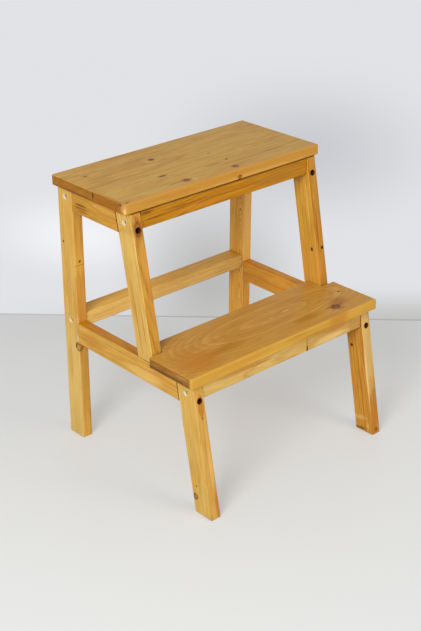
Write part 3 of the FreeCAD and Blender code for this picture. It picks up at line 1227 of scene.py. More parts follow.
    def make(self) -> None:
        """Model the screws and dowels, one piece for each node of the frame."""
        zinc = ZincPlate().material("zinc_plate")
        birch = BareBirch().material("bare_birch")
        for node, screws in self.screws.items():
            piece = self.repeated(self.screw_shape(screws[0]), screws)
            finish_piece(piece, node, node + "_zinc", zinc)
        for node, dowels in self.dowels.items():
            piece = self.repeated(self.dowel_shape(dowels[0]), dowels)
            finish_piece(piece, node, node + "_birch", birch)


def finish_piece(piece: Piece, node: str, name: str, material: bpy.types.Material) -> None:
    """Shade a piece, dress it and let it stand for its node.

    Args:
        piece: The piece.
        node: The node that it stands for.
        name: Its name.
        material: Its material.
    """
    Bench.smooth(piece, SMOOTH_ANGLE)
    piece.name = name
    piece.data.name = name
    piece.data.materials.clear()
    piece.data.materials.append(material)
    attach(piece, BODY)
    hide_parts(node)
    Bench.clear()
    LOG.info("made %s with %d faces", name, len(piece.data.polygons))


@dataclass
class Timber:
    """One piece of wood: a blank that is shaped, drilled, eased and lacquered."""

    node: str
    pine: Pine
    slot: str = "frame_pine"
    rounding: float = 0.0019
    flats: int = 4

    @property
    def box(self) -> Box:
        """Lowest and highest corner of its node in the frame."""
        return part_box(self.node)

    def blank(self) -> Piece:
        """Shape the blank from the node's place in the frame."""
        return Bench.block(self.node + "_blank", *self.box)

    def seams(self) -> list[Seam]:
        """Planes where the piece meets others and shade is painted; a board has none."""
        return []

    def make(self, fastenings: Fastenings) -> None:
        """Make the piece.

        Args:
            fastenings: The screws and dowels to drill for.
        """
        piece = self.blank()
        fastenings.drill(piece)
        recesses = fastenings.recesses_in(piece)
        material = self.pine.material(self.node + "_pine", recesses, self.seams())
        finish_piece(piece, self.node, self.node + "_wood", material)


@dataclass
class Slab(Timber):
    """A bar of one thickness whose side outline has four corners."""

    foot_rounding: float = 0.0
    foot_flats: int = 2
    top_seam: float = 0.0

    def corners(self) -> list[tuple[float, float]]:
        """Corners of the side outline as (y, z): front and rear below, rear and front above."""
        low, high = self.box
        return [(low.y, low.z), (high.y, low.z), (high.y, high.z), (low.y, high.z)]

    def seams(self) -> list[Seam]:
        """Both ends of a cross bar, which meet the legs, and its top where a board lies on it; shade is
        painted along each.

        Returns:
            The seams.
        """
        found = [Seam(end / MILLIMETRE, RIGHT) for end in self.box]
        if self.top_seam > 0.0:
            found.append(Seam(self.box[1] / MILLIMETRE, UP, self.top_seam))
        return found

    def blank(self) -> Piece:
        """Shape a block to the outline, then round its long edges and its foot.

        Returns:
            The blank.
        """
        low, high = self.box
        piece = super().blank()
        for (start_y, start_z), (y, z) in zip(Slab.corners(self), self.corners()):
            Bench.pick(piece, "VERT", lambda places: abs(places[0].y - start_y) < PLACE_TOLERANCE
                       and abs(places[0].z - start_z) < PLACE_TOLERANCE)
            bpy.ops.transform.translate(value=(0.0, y - start_y, z - start_z))
        shortest = (high - low).length * LONG_EDGE_SHARE
        Bench.round_edges(piece, self.rounding, self.flats,
                          lambda ends: (ends[1] - ends[0]).length > shortest)
        if self.foot_rounding > 0.0:
            Bench.round_edges(piece, self.foot_rounding, self.foot_flats,
                              lambda ends: max(end.z for end in ends) < PLACE_TOLERANCE)
        return piece


@dataclass
class Leg(Slab):
    """A leaning leg with level ends."""

    lean: float = REAR_LEAN
    width: float = 0.040

    def corners(self) -> list[tuple[float, float]]:
        """Work the leaning outline out from the top end, which nothing eases.

        Returns:
            Its corners as (y, z), in the order of a square slab's.
        """
        low, high = self.box
        width = self.width / math.cos(math.radians(self.lean))
        top = high.y - width if self.lean > 0.0 else low.y
        bottom = top - math.tan(math.radians(self.lean)) * (high.z - low.z)
        return [(bottom, low.z), (bottom + width, low.z), (top + width, high.z), (top, high.z)]

    def seams(self) -> list[Seam]:
        """The top end, which carries a step, and the bottom end on a rail or the floor; shade is painted
        along both.
        """
        return [Seam(end / MILLIMETRE, UP) for end in self.box]


@dataclass
class SideBar(Slab):
    """A bar from a front leg to the rear leg, cut to the slope of both."""

    seam_reach: float = 1.2
    seam_strength: float = 0.65

    def corners(self) -> list[tuple[float, float]]:
        """Cut the outline to the slope of the legs.

        Returns:
            Its corners as (y, z), in the order of a square slab's.
        """
        low, high = self.box
        front, rear = (math.tan(math.radians(lean)) * (high.z - low.z) for lean in (FRONT_LEAN, REAR_LEAN))
        return [(low.y, low.z), (high.y, low.z), (high.y + rear, high.z), (low.y + front, high.z)]

    def seams(self) -> list[Seam]:
        """Both ends, on the slope of the legs, where shade is painted.

        Returns:
            The seams.
        """
        low, high = self.box
        found = []
        for lean, place in ((FRONT_LEAN, low), (REAR_LEAN, Vector((high.x, high.y, low.z)))):
            facing = Matrix.Rotation(-math.radians(lean), 3, "X") @ REARWARD
            found.append(Seam(place / MILLIMETRE, facing, self.seam_reach, self.seam_strength))
        return found


@dataclass
class Board(Timber):
    """A step board with rounded corners and eased rims."""

    corner_radius: float = 0.003
    corner_flats: int = 6
    notch_radius: float = 0.0015
    notch_flats: int = 4
    rounding: float = 0.0017

    def round_board(self, piece: Piece, notch: tuple[float, float] | None = None) -> None:
        """Round the upright edges and then the rims.

        Args:
            piece: The board.
            notch: Half width and place of the inner notch corners, which stay nearly sharp.
        """
        low, high = self.box
        middle = (low.z + high.z) / 2.0
        half = (high.z - low.z) / 2.0

        def upright(ends: list[Vector], notched: bool) -> bool:
            """Whether an edge stands upright, in an inner corner of a notch or elsewhere.

            Args:
                ends: The two end places of the edge.
                notched: True for an inner corner of a notch.

            Returns:
                True where it does.
            """
            off = max(abs(abs(ends[0].x) - notch[0]), abs(ends[0].y - notch[1])) if notch else half
            rise = abs(ends[1].z - ends[0].z)
            return rise > 2.0 * half * UPRIGHT_SHARE and (off < PLACE_TOLERANCE) == notched

        def on_rim(ends: list[Vector]) -> bool:
            """Whether an edge lies in the top or the bottom face."""
            heights = [end.z - middle for end in ends]
            return min(map(abs, heights)) > half - PLACE_TOLERANCE and heights[0] * heights[1] > 0.0

        Bench.round_edges(piece, self.corner_radius, self.corner_flats, lambda ends: upright(ends, False))
        Bench.round_edges(piece, self.notch_radius, self.notch_flats, lambda ends: upright(ends, True))
        Bench.round_edges(piece, self.rounding, self.flats, on_rim)


@dataclass
class TopStep(Board):
    """The upper board."""

    def blank(self) -> Piece:
        """Shape the rectangular board.

        Returns:
            The blank.
        """
        piece = super().blank()
        self.round_board(piece)
        return piece


@dataclass
class LowerStep(Board):
    """The lower board, notched to pass between the upper front legs."""

    notch_room: float = 0.0005

    def blank(self) -> Piece:
        """Shape the wide front part, then draw out the narrow tongue.

        Returns:
            The blank.
        """
        low, high = self.box
        leg_low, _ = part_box("upper_front_leg_right")
        notch_y = leg_low.y - self.notch_room
        narrow = leg_low.x - self.notch_room
        piece = Bench.block(self.node + "_blank", low, Vector((high.x, notch_y, high.z)))
        for x in (-narrow, narrow):
            Bench.pick(piece, "FACE", lambda corners: True)
            bpy.ops.mesh.bisect(plane_co=(x, notch_y, low.z), plane_no=RIGHT)
        Bench.pick(piece, "FACE", lambda corners: min(c.y for c in corners) > notch_y - PLACE_TOLERANCE
                   and max(abs(c.x) for c in corners) < narrow + PLACE_TOLERANCE)
        Bench.extrude(Vector((0.0, high.y - notch_y, 0.0)))
        bpy.ops.mesh.select_all(action="SELECT")
        bpy.ops.mesh.dissolve_limited(angle_limit=math.radians(1.0))
        Bench.clear()
        self.round_board(piece, (narrow, notch_y))
        return piece


@dataclass
class SideFrame:
    """One side of the stool: rear leg, two front legs, apron and rail."""

    side: Side
    looks: dict[str, Pine]
    foot_rounding: float = 0.0012

    def make(self, fastenings: Fastenings) -> None:
        """Make the five pieces of wood.

        Args:
            fastenings: The screws and dowels to drill for.
        """
        legs = {"rear_leg": (REAR_LEAN, self.foot_rounding), "upper_front_leg": (FRONT_LEAN, 0.0),
                "lower_front_leg": (FRONT_LEAN, self.foot_rounding)}
        for name, (lean, foot_rounding) in legs.items():
            node = f"{name}_{self.side.value}"
            Leg(node, self.looks[node], lean=lean, foot_rounding=foot_rounding).make(fastenings)
        for name in ("side_apron", "side_rail"):
            node = f"{name}_{self.side.value}"
            SideBar(node, self.looks[node]).make(fastenings)


@dataclass
class CrossBars:
    """The bars from the left side frame to the right one."""

    looks: dict[str, Pine]
    top_seams: tuple[tuple[str, float], ...] = (
        ("front_apron", 2.4), ("rear_apron", 1.2), ("rear_stretcher", 0.0), ("lower_front_apron", 1.4))

    def make(self, fastenings: Fastenings) -> None:
        """Make the bars, each with the reach of the painted shade along its top."""
        for node, top_seam in self.top_seams:
            Slab(node, self.looks[node], top_seam=top_seam).make(fastenings)


@dataclass
class Steps:
    """The two boards that are stepped on."""

    looks: dict[str, Pine]

    def make(self, fastenings: Fastenings) -> None:
        """Make both boards."""
        for kind, node in ((TopStep, "top_step"), (LowerStep, "lower_step")):
            kind(node, self.looks[node], slot=node + "_pine").make(fastenings)


def step_looks() -> dict[str, Pine]:
    """Wood of the two boards.

    Returns:
        The pine of each piece, by its node.
    """
    top = Pine(
        Grain(Run.ALONG_STEPS, (0, 85, 491), (40, -160), tilt=0.02, spacing=4.6,
              contrast=0.42, streaks=0.36, seed=1),
        colour=(207, 163, 71), edge=(0.74, 0.75, 0.5), end=(151, 92, 1), patchy=0.5,
        knots=(
            Knot((-49.7, 125.6, 500), 3.6, stretch=1.3, dark=0.9, halo=2.4, haze=0.6),
            Knot((-87.9, 49.1, 500), 2.6, stretch=2.4, dark=0.6, rim=0.8, haze=0.6),
            Knot((-71.5, 7.9, 500), 4.2, stretch=1.4, dark=0.7, halo=2.8, haze=0.6),
            Knot((43.3, 83.8, 500), 1.4, dark=0.6),
            Knot((45.2, 39.9, 500), 2.2, dark=0.95, stretch=1, haze=0.5),
            Knot((32, 3.3, 500), 4, dark=0.6, rim=0.6, stretch=1.2, halo=2.4, haze=0.8),
            Knot((-181, 135, 500), 1.8, dark=0.5, stretch=1.6),
            Knot((27.5, -13, 486), 3.4, Through.CORNER, dark=0.5, rim=0.9, stretch=1),
        ),
        stains=(
            Stain((138, 24.5, 500), (34, 2.2, 0), (138, 78, 14), 0.7),
            Stain((-92, 10, 500), (16, 1.7, 0), (104, 58, 12), 0.75),
            Stain((-58, 4, 500), (9, 4.5, 0), (214, 184, 128), 0.55),
            Stain((12, 36, 500), (24, 4, 0), (160, 106, 34), 0.45),
            Stain((-80, 178, 500), (60, 7, 0), (186, 112, 22), 0.6),
            Stain((-150, 168, 500), (50, 3, 0), (196, 124, 34), 0.5),
            Stain((-30, 150, 500), (70, 2, 0), (176, 112, 32), 0.5),
            Stain((-170, 100, 500), (40, 2, 0), (176, 112, 32), 0.5),
            Stain((170, 60, 500), (24, 2, 0), (150, 92, 20), 0.55),
            Stain((120, 130, 500), (60, 12, 0), (196, 138, 46), 0.4),
            Stain((0, -13, 500), (0, 10, 0), (208, 144, 56), 0.6),
            Stain((60, -13, 485), (150, 4, 4), (226, 172, 84), 0.45),
            Stain((-120, -13, 492), (70, 4, 3), (186, 116, 34), 0.4),
            Stain((-216, 20, 491), (6, 48, 0), (156, 92, 8), 0.55, softness=0.2),
            Stain((-216, 69.5, 493), (7, 2.4, 8), (60, 26, 4), 0.95),
            Stain((-216, 120, 483), (5, 70, 4), (96, 46, 8), 0.6),
            # pale front-left corner: wear, partly a painted highlight
            Stain((-214, -10, 492), (11, 13, 12), (214, 158, 80), 0.75, softness=0.9),
            Stain((-215, -12, 488), (4, 4, 7), (246, 206, 136), 0.6, softness=0.8),
            Stain((-206, -7, 500), (6, 2.4, 3), (62, 30, 8), 0.95),
            Stain((-216, -2, 497), (3, 5, 3), (74, 36, 10), 0.8),
        ),
        joints=(Joint(-15.5, 0.05, between_staves=True),),
    )
    lower = Pine(
        Grain(Run.ALONG_STEPS, (0, -93, 243), (8, -8), curve=0.0009, crest=40,
              spacing=6, contrast=1, streaks=0.25, sway=0.6, seed=2),
        colour=(194, 141, 53), edge=(0.75, 0.75, 0.33), end=(143, 92, 17),
        late=(1.22, 1.34, 1.9), patchy=0.5,
        knots=(
            Knot((140.9, -133.8, 252), 6.4, stretch=1.2, dark=0.5, rim=0.75, halo=2.2, haze=0.8,
                 bulge=1.2),
            Knot((189.7, -94.5, 252), 1.9, dark=0.9),
        ),
        stains=(
            Stain((-105, -120, 252), (62, 15, 0), (172, 106, 2), 0.7, softness=0.9),
            Stain((72, -131, 252), (46, 11, 0), (172, 106, 2), 0.7, softness=0.9),
            Stain((-165, -120, 252), (50, 40, 0), (190, 116, 14), 0.6),
            Stain((160, -120, 252), (24, 18, 0), (150, 86, 0), 0.65, softness=0.9),
            Stain((156, -131, 252), (9, 1.8, 0), (74, 34, 6), 0.7),
            Stain((128, -129, 252), (9, 1.6, 0), (92, 46, 8), 0.65),
            Stain((146, -145, 252), (10, 1.6, 0), (96, 48, 8), 0.55),
            Stain((-216, -90, 238), (5, 80, 4), (70, 40, 18), 0.6),
            Stain((-216, -140, 247), (5, 24, 4), (176, 132, 80), 0.6),
            Stain((66, -86, 252), (11, 1.8, 0), (226, 182, 108), 0.75),
            Stain((28, -90, 252), (7, 1.3, 0), (226, 182, 108), 0.6),
            Stain((0, -162, 252), (0, 5, 0), (226, 172, 66), 0.6),
            Stain((-100, -163, 246), (70, 4, 4), (206, 138, 40), 0.4),
            Stain((-20, -163, 238), (90, 4, 3), (226, 176, 84), 0.35),
            Stain((20, -163, 248), (36, 4, 3), (184, 118, 34), 0.45),
            Stain((160, -163, 246), (36, 4, 4), (222, 166, 72), 0.4),
            Stain((60, -163, 238), (60, 4, 2), (150, 92, 20), 0.5),
            Stain((118, -163, 243), (26, 5, 0), (190, 120, 36), 0.6),
        ),
    )
    return {"top_step": top, "lower_step": lower}


def cross_bar_looks() -> dict[str, Pine]:
    """Wood of the bars between the side frames.

    Returns:
        The pine of each piece, by its node.
    """
    front = Pine(
        Grain(Run.ACROSS_STOOL, (0, 3.8, 467), (-16, 40), tilt=0.04, spacing=4.4,
              contrast=0.7, streaks=0.5, seed=3),
        colour=(193, 133, 5),
        stains=(
            Stain((-174, -13.8, 477), (16, 4, 0), (92, 46, 10), 0.7),
            Stain((-160, -13.8, 465), (26, 1.8, 0), (100, 52, 12), 0.65),
            Stain((-90, -13.8, 470), (60, 1.6, 0), (132, 76, 18), 0.6),
            Stain((-60, -13.8, 460), (70, 5, 0), (208, 132, 34), 0.5),
            Stain((120, -13.8, 466), (80, 15, 0), (170, 116, 34), 0.5),
        ),
    )
    rear = Pine(
        Grain(Run.ACROSS_STOOL, (0, 162.8, 467), (-50, -40), seed=4),
        colour=(210, 156, 76),
        joints=(Joint(-40, 0.12),),
    )
    stretcher = Pine(
        Grain(Run.ACROSS_STOOL, (0, 168.9, 234.5), (-60, -25), tilt=0.01,
              contrast=0.4, streaks=0.25, seed=5),
        colour=(234, 194, 111), edge=(1.01, 0.9, 0.47),
        joints=(Joint(-45, 0.16),),
    )
    lower = Pine(
        Grain(Run.ACROSS_STOOL, (0, -136.1, 219), (-6, 60), tilt=0.05, spacing=4.6,
              contrast=0.5, streaks=0.3, seed=6),
        colour=(221, 183, 102),
        stains=(
            Stain((-100, -153.6, 226), (62, 7, 0), (204, 134, 42), 0.65),
            Stain((-60, -153.6, 222), (40, 1.4, 0), (160, 100, 32), 0.5),
            Stain((112, -153.6, 228), (44, 6, 0), (204, 134, 42), 0.7, softness=0.4),
            Stain((108, -153.6, 212), (46, 7, 0), (242, 204, 128), 0.6, softness=0.4),
            Stain((51.8, -153.6, 208), (2.2, 8, 0), (56, 22, 4), 0.95, softness=0.3),
            Stain((51, -153.6, 222), (1.2, 9, 0), (130, 78, 24), 0.7),
        ),
        joints=(Joint(51.8, 0.1), Joint(159, 0.3)),
    )
    return {"front_apron": front, "rear_apron": rear, "rear_stretcher": stretcher,
            "lower_front_apron": lower}


def left_looks() -> dict[str, Pine]:
    """Wood of the left side frame.

    Returns:
        The pine of each piece, by its node.
    """
    rear = Pine(
        Grain(Run.UP_THE_LEG, (-195, 168.7, 241), (70, 50), REAR_LEAN, tilt=0.01,
                  contrast=0.4, streaks=0.3, seed=7),
        colour=(225, 183, 93), edge=(0.99, 0.86, 0.61),
        knots=(
            Knot((-205, 176, 380), 1.6, dark=1, stretch=1, halo=2.6),
            Knot((-195, 144, 349), 1.7, Through.EDGE, dark=0.9, stretch=1, halo=2.6),
            Knot((-202.5, 151, 187), 7.2, Through.CORNER, stretch=1.1, dark=0.12, rim=0.75,
                 halo=1.5, haze=0.3),
        ),
        stains=(
            Stain((-205, 149.5, 228), (27, 1.8, 3), (244, 218, 156), 0.7),
            Stain((-205, 170, 100), (150, 0, 5), (236, 202, 122), 0.4, softness=0.8),
            Stain((-205, 165, 410), (120, 0, 0), (204, 150, 62), 0.35, softness=0.8),
            Stain((-205, 151, 205), (9, 2.2, 3.5), (252, 234, 190), 0.95),
            Stain((-195, 144.5, 342), (1.2, 4, 0), (140, 84, 24), 0.5),
            Stain((-205, 191, 180.8), (3, 2.4, 4), (70, 36, 12), 0.9),
            Stain((-205, 191.5, 146.4), (4, 2, 4), (70, 36, 12), 0.9),
            Stain((-205, 191.5, 124.1), (2.5, 2, 4), (70, 36, 12), 0.9),
            Stain((-205, 178, 150), (46, 9, 0), (196, 136, 50), 0.4),
            Stain((-205, 158, 189), (7, 2.2, 3), (96, 48, 8), 0.8),
            Stain((-195, 148, 258), (78, 5, 0), (184, 116, 40), 0.4, softness=0.2),
        ),
    )
    upper = Pine(
        Grain(Run.UP_THE_LEG, (-195, -15.6, 358), (86, 14), FRONT_LEAN, slant=0.07, spacing=3.9,
                  contrast=0.65, streaks=0.4, seed=8),
        colour=(222, 184, 96), edge=(0.81, 0.64, 0.32),
        knots=(
            Knot((-195, -18, 456), 6.4, Through.EDGE, stretch=1.8, dark=0, rim=0.5,
                 halo=1.9, haze=0.7),
        ),
        stains=(
            Stain((-190, -34, 380), (60, 0, 6), (214, 140, 60), 0.45),
            Stain((-195, -18, 455), (22, 0, 7), (190, 112, 24), 0.5),
            Stain((-197, -14, 474), (7, 0, 1.6), (128, 70, 18), 0.7),
            Stain((-205, -20, 300), (70, 1.6, 0), (166, 104, 34), 0.6),
            Stain((-205, -36, 290), (60, 1.4, 0), (166, 104, 34), 0.55),
            Stain((-205, -10, 330), (50, 1.4, 0), (176, 116, 40), 0.5),
        ),
    )
    lower = Pine(
        Grain(Run.UP_THE_LEG, (-195, -154.3, 117), (-60, 50), FRONT_LEAN, tilt=0.01, spacing=4,
                  contrast=0.3, streaks=0.22, seed=9),
        colour=(218, 176, 87), edge=(0.93, 0.85, 0.79),
        knots=(
            Knot((-205, -156.5, 30), 5.2, dark=0.3, rim=1, stretch=1, halo=1.5),
            Knot((-205, -158.5, 50.7), 1.4, dark=0.8, stretch=1, halo=2.4),
        ),
        stains=(
            Stain((-194, -160, 198), (21, 0, 7), (178, 106, 14), 0.75, softness=0.25),
            Stain((-194, -168, 177), (3, 0, 3), (130, 70, 14), 0.7),
            Stain((-188, -195, 24), (34, 0, 6), (180, 104, 26), 0.7),
            Stain((-196, -180, 110), (60, 0, 1.3), (170, 108, 34), 0.55),
            Stain((-192, -180, 90), (40, 0, 5), (238, 188, 104), 0.5),
            Stain((-205, -120, 190), (40, 8, 0), (240, 206, 128), 0.45),
        ),
    )
    apron = Pine(
        Grain(Run.FRONT_TO_REAR, (-195, 81.5, 462), (-12, 36), tilt=0.03,
              contrast=0.6, streaks=0.4, seed=10),
        colour=(203, 150, 53),
        stains=(
            Stain((-205, 118, 455), (26, 9, 0), (168, 102, 20), 0.5),
            Stain((-205, 120, 460), (17, 1.4, 0), (84, 40, 6), 0.85, softness=0.3),
            Stain((-205, 122, 454.5), (19, 1.2, 0), (100, 50, 8), 0.75, softness=0.3),
            Stain((-205, 112, 449.5), (14, 1.2, 0), (110, 58, 12), 0.7, softness=0.3),
            Stain((-205, 60, 470), (44, 8, 0), (220, 166, 74), 0.5),
        ),
    )
    rail = Pine(
        Grain(Run.FRONT_TO_REAR, (-195, 14.8, 214), (46, -30), tilt=0.01, spacing=4.2,
              contrast=0.6, streaks=0.4, seed=11),
        colour=(218, 169, 73), edge=(0.86, 0.66, 0.15),
        stains=(
            Stain((-205, 110, 214), (44, 16, 0), (190, 122, 36), 0.5),
            Stain((-205, -30, 206), (60, 12, 0), (236, 194, 108), 0.55),
            Stain((-205, 30, 224), (70, 1.8, 0), (168, 104, 34), 0.5),
        ),
    )
    return {"rear_leg_left": rear, "upper_front_leg_left": upper, "lower_front_leg_left": lower,
            "side_apron_left": apron, "side_rail_left": rail}


def right_looks() -> dict[str, Pine]:
    """Wood of the right side frame.

    Returns:
        The pine of each piece, by its node.
    """
    rear = Pine(
        Grain(Run.UP_THE_LEG, (195, 168.7, 241), (11, -19), REAR_LEAN, tilt=0.09, spacing=1.3,
                  contrast=1, streaks=0.25, sway=0.4, seed=12),
        colour=(255, 194, 84),
        stains=(Stain((185, 148, 300), (160, 2.6, 0), (246, 200, 116), 0.5),),
    )
    upper = Pine(
        Grain(Run.UP_THE_LEG, (195, -15.6, 358), (-60, -35), FRONT_LEAN, tilt=0.01, spacing=4.4,
                  contrast=0.5, streaks=0.4, seed=13),
        colour=(218, 166, 60), edge=(0.75, 0.63, 0.5),
        knots=(
            Knot((185, -31.5, 315.5), 2.3, dark=1, stretch=1.2, halo=2.6),
            Knot((199.6, -42, 318), 2.3, Through.EDGE, dark=1, stretch=1.2, halo=2.6),
        ),
        stains=(
            Stain((192, -30, 340), (44, 0, 1.6), (140, 76, 18), 0.6),
            Stain((185, -18, 400), (60, 3, 3), (240, 190, 96), 0.6),
            Stain((188, -44, 290), (44, 0, 7), (222, 156, 58), 0.5),
        ),
    )
    lower = Pine(
        Grain(Run.UP_THE_LEG, (195, -154.3, 117), (90, -12), FRONT_LEAN, slant=0.03, spacing=4.6,
                  contrast=1, streaks=0.6, seed=14),
        colour=(215, 156, 55), edge=(0.88, 0.84, 0.8),
        late=(0.66, 0.4, 0.2),
        knots=(Knot((185, -135.6, 163), 2.2, dark=1, stretch=1, halo=3, haze=0.5),),
        stains=(
            Stain((193, -166, 170), (110, 5, 24), (214, 178, 106), 0.85, softness=0.6),
            Stain((186, -176, 105), (70, 4, 2.4), (246, 208, 140), 0.5),
            Stain((198, -168, 160), (70, 0, 1.2), (196, 140, 64), 0.6),
            Stain((195, -190, 25), (36, 6, 14), (188, 120, 34), 0.7, softness=0.8),
            Stain((185, -162, 25), (6, 20, 3), (232, 184, 112), 0.6, softness=0.9),
            Stain((185, -183, 14), (9, 4, 3), (236, 190, 124), 0.5),
            Stain((185, -160, 3), (3.5, 26, 4), (110, 62, 22), 0.7),
            Stain((196, -192, 8), (6, 5, 6), (120, 62, 16), 0.7),
        ),
    )
    apron = Pine(
        Grain(Run.FRONT_TO_REAR, (195, 81.5, 462), (-40, -40), seed=15),
        colour=(212, 158, 76),
    )
    rail = Pine(
        Grain(Run.FRONT_TO_REAR, (195, 14.8, 214), (40, -44), tilt=0.01, spacing=4.2,
              contrast=0.4, streaks=0.3, seed=16),
        colour=(224, 159, 55), edge=(0.94, 0.86, 0.15),
    )
    return {"rear_leg_right": rear, "upper_front_leg_right": upper, "lower_front_leg_right": lower,
            "side_apron_right": apron, "side_rail_right": rail}


@dataclass(frozen=True)
class Lamp:
    """A softbox: its place, what it points at, its size and its power."""

    name: str
    place: Place
    size: float
    watts: float
    colour: Colour = (255, 255, 255)
    aim: Place = (0.0, 0.0, 0.25)


@dataclass(frozen=True)
class Shade:
    """A soft patch of painted shadow or painted light on the backdrop: its place along and up it, its half
    sizes and its strength.
    """

    place: tuple[float, float]
    reach: tuple[float, float]
    colour: Colour
    strength: float


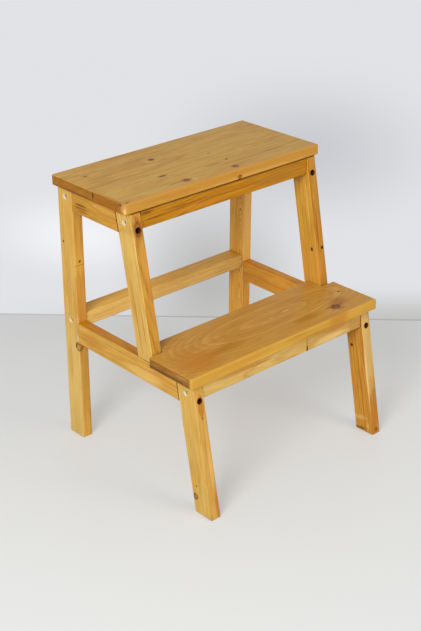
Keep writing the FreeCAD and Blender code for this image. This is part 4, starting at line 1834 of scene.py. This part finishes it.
@dataclass
class Studio:
    """Pale floor and backdrop with shadows and light painted on the backdrop, soft light and the camera."""

    floor_colour: Colour = (228, 229, 227)
    floor_far: Colour = (220, 221, 219)
    floor_glow: float = 0.38
    floor_bounce: float = 0.6
    wall_colour: Colour = (226, 227, 231)
    wall_foot: tuple[Vector, Vector] = (Vector((-0.029, 0.684, 0.0)), Vector((0.601, 0.055, 0.0)))
    # painted on the backdrop: a pool of light on the left, the stool's soft shadows behind it, shade
    # darkening towards the floor, and a thin line of painted shade along its foot
    shades: tuple[Shade, ...] = (
        Shade((0.17, 0.19), (0.24, 0.12), (246, 246, 250), 0.85),
        Shade((0.64, 0.38), (0.36, 0.20), (196, 197, 202), 0.8),
        Shade((0.46, 0.08), (0.24, 0.30), (168, 167, 164), 0.72),
        Shade((0.95, 0.0), (1.1, 0.09), (194, 194, 191), 0.95),
        Shade((0.50, 0.0), (4.0, 0.005), (140, 140, 137), 0.6),
    )
    wall_reach: float = 3.0
    floor_reach: float = 6.0
    light_level: float = 0.55
    lamps: tuple[Lamp, ...] = (
        Lamp("key_softbox", (-2.0, -0.9, 1.5), 1.2, 42.0),
        Lamp("fill_softbox", (0.6, -2.4, 1.2), 1.4, 24.0, (255, 250, 242)),
    )
    camera_place: Vector = Vector((-1.291337, -1.437052, 1.185047))
    camera_aim: Vector = Vector((0.591733, 0.674461, -0.441536))
    camera_roll: float = -0.0139
    focal_length: float = 70.358
    sensor: float = 36.0

    @property
    def along_wall(self) -> Vector:
        """Direction along the foot of the backdrop."""
        return (self.wall_foot[1] - self.wall_foot[0]).normalized()

    def wall_place(self, w: Wiring) -> Socket:
        """Place along, behind and above the foot of the backdrop, in metres."""
        turn = (0.0, 0.0, math.atan2(self.along_wall.y, self.along_wall.x))
        return w.own_axes(w.read("TexCoord", "Object"), self.wall_foot[0], turn, 1.0)

    @staticmethod
    def plane(name: str, reach: float) -> tuple[Piece, Wiring]:
        """Add a square plane with an empty material.

        Args:
            name: Its name.
            reach: How far it reaches from its middle.

        Returns:
            The plane and the wiring of its material.
        """
        Bench.clear()
        bpy.ops.mesh.primitive_plane_add(size=2.0 * reach)
        plane = bpy.context.active_object
        plane.name = name
        material, w = new_material("pale_" + name)
        plane.data.materials.append(material)
        return plane, w

    def make_floor(self) -> None:
        """Lay the floor, faintly mottled like painted board, with painted shade greying it towards the
        backdrop.
        """
        floor, w = self.plane("floor", self.floor_reach)
        place = self.wall_place(w)
        cloud = w.noise(place, Pattern.FLOOR_CLOUDS)
        gap = w.weighted(0.0, (w.parts(place)[1], -1.0), (cloud, 0.08))
        # painted shade: the floor greys towards the foot of the backdrop
        far = w.mix(w.span(gap, 0.0, 0.42, 0.75, 0.0), linear(self.floor_colour), linear(self.floor_far))
        rough = w.weighted(0.3, (cloud, 0.2))
        paint = {"Base Color": far, "Roughness": rough, "Specular IOR Level": 0.25}
        lit = w.shader("BsdfPrincipled", paint)
        seen = w.shader("MixShader", {0: self.floor_glow, 1: lit, 2: w.shader("Emission", {"Color": far})})
        plain = w.shader("BsdfDiffuse", {"Color": (self.floor_bounce,) * 3})
        looked = w.read("LightPath", "Is Camera Ray")
        w.surface(w.shader("MixShader", {0: looked, 1: plain, 2: seen}))

    def make_wall(self) -> None:
        """Stand the backdrop behind the stool; it shows from the front only and casts no shade."""
        wall, w = self.plane("backdrop", self.wall_reach)
        middle = sum(self.wall_foot, Vector()) / 2.0 + UP * self.wall_reach
        turn = Matrix((self.along_wall, UP, self.along_wall.cross(UP))).transposed().to_4x4()
        wall.matrix_world = Matrix.Translation(middle) @ turn
        Bench.settle(wall, "backdrop")
        place = self.wall_place(w)
        cloud = w.maths("MULTIPLY", w.noise(place, Pattern.BACKDROP_CLOUDS), 0.12)
        colour = w.mix(cloud, linear(self.wall_colour), linear(self.floor_far))
        # paint the pool of light and the shadows onto the backdrop
        for shade in self.shades:
            (along, height), (width, rise) = shade.place, shade.reach
            distance = w.apart(place, (along, 0.0, height), (1.0 / width, 0.0, 1.0 / rise))
            amount = w.span(distance, 0.0, 1.0, shade.strength, 0.0)
            colour = w.mix(amount, colour, linear(shade.colour))
        behind = w.read("NewGeometry", "Backfacing")
        light = w.shader("Emission", {"Color": colour})
        w.surface(w.shader("MixShader", {0: behind, 1: light, 2: w.shader("BsdfTransparent", {})}))
        for rays in ("diffuse", "shadow", "glossy", "transmission"):
            setattr(wall, "visible_" + rays, False)

    def make_lights(self) -> None:
        """Hang the softboxes and set the even light all round."""
        for lamp in self.lamps:
            data = bpy.data.lights.new(lamp.name, "AREA")
            data.shape = "DISK"
            data.size = lamp.size
            data.energy = lamp.watts
            data.color = linear(lamp.colour)
            box = bpy.data.objects.new(lamp.name, data)
            box.location = lamp.place
            aim = Vector(lamp.aim) - Vector(lamp.place)
            box.rotation_euler = aim.to_track_quat("-Z", "Y").to_euler()
            bpy.context.scene.collection.objects.link(box)
        world = bpy.data.worlds.new("studio")
        world.use_nodes = True
        bpy.context.scene.world = world
        w = Wiring(world.node_tree)
        looked = 0.0
        for ray in ("Is Camera Ray", "Is Glossy Ray", "Is Transmission Ray"):
            looked = w.maths("MAXIMUM", looked, w.read("LightPath", ray))
        seen = w.weighted(self.light_level, (looked, 1.0 - self.light_level))
        sky = w.shader("Background", {"Color": linear(self.wall_colour), "Strength": seen})
        w.node("OutputWorld", {"Surface": sky})

    def make_camera(self) -> None:
        """Stand the camera where the photograph was taken from."""
        data = bpy.data.cameras.new("camera")
        data.lens = self.focal_length
        data.sensor_width = self.sensor
        camera = bpy.data.objects.new("camera", data)
        level = self.camera_aim.cross(UP).normalized()
        upright = level.cross(self.camera_aim).normalized()
        right = math.cos(self.camera_roll) * level + math.sin(self.camera_roll) * upright
        above = math.cos(self.camera_roll) * upright - math.sin(self.camera_roll) * level
        turn = Matrix((right, above, -self.camera_aim.normalized())).transposed().to_4x4()
        camera.matrix_world = Matrix.Translation(self.camera_place) @ turn
        bpy.context.scene.collection.objects.link(camera)
        bpy.context.scene.camera = camera

    def make(self) -> None:
        """Set up the whole studio."""
        self.make_floor()
        self.make_wall()
        self.make_lights()
        self.make_camera()
        bpy.context.scene.view_settings.view_transform = "Standard"


def corners(box: tuple[Vector, Vector]) -> list[list[float]]:
    """Lowest and highest corner of a box as plain lists."""
    return [list(corner) for corner in box]


def main() -> None:
    """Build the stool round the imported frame, then the studio."""
    logging.basicConfig(level=logging.INFO, format="%(name)s: %(message)s")
    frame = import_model()
    looks = {**step_looks(), **cross_bar_looks(), **left_looks(), **right_looks()}
    fastenings = Fastenings(frame["nodes"])
    fastenings.measure()
    Steps(looks).make(fastenings)
    CrossBars(looks).make(fastenings)
    for side in Side:
        SideFrame(side, looks).make(fastenings)
    fastenings.make()
    Studio().make()


if __name__ == "__main__":
    main()
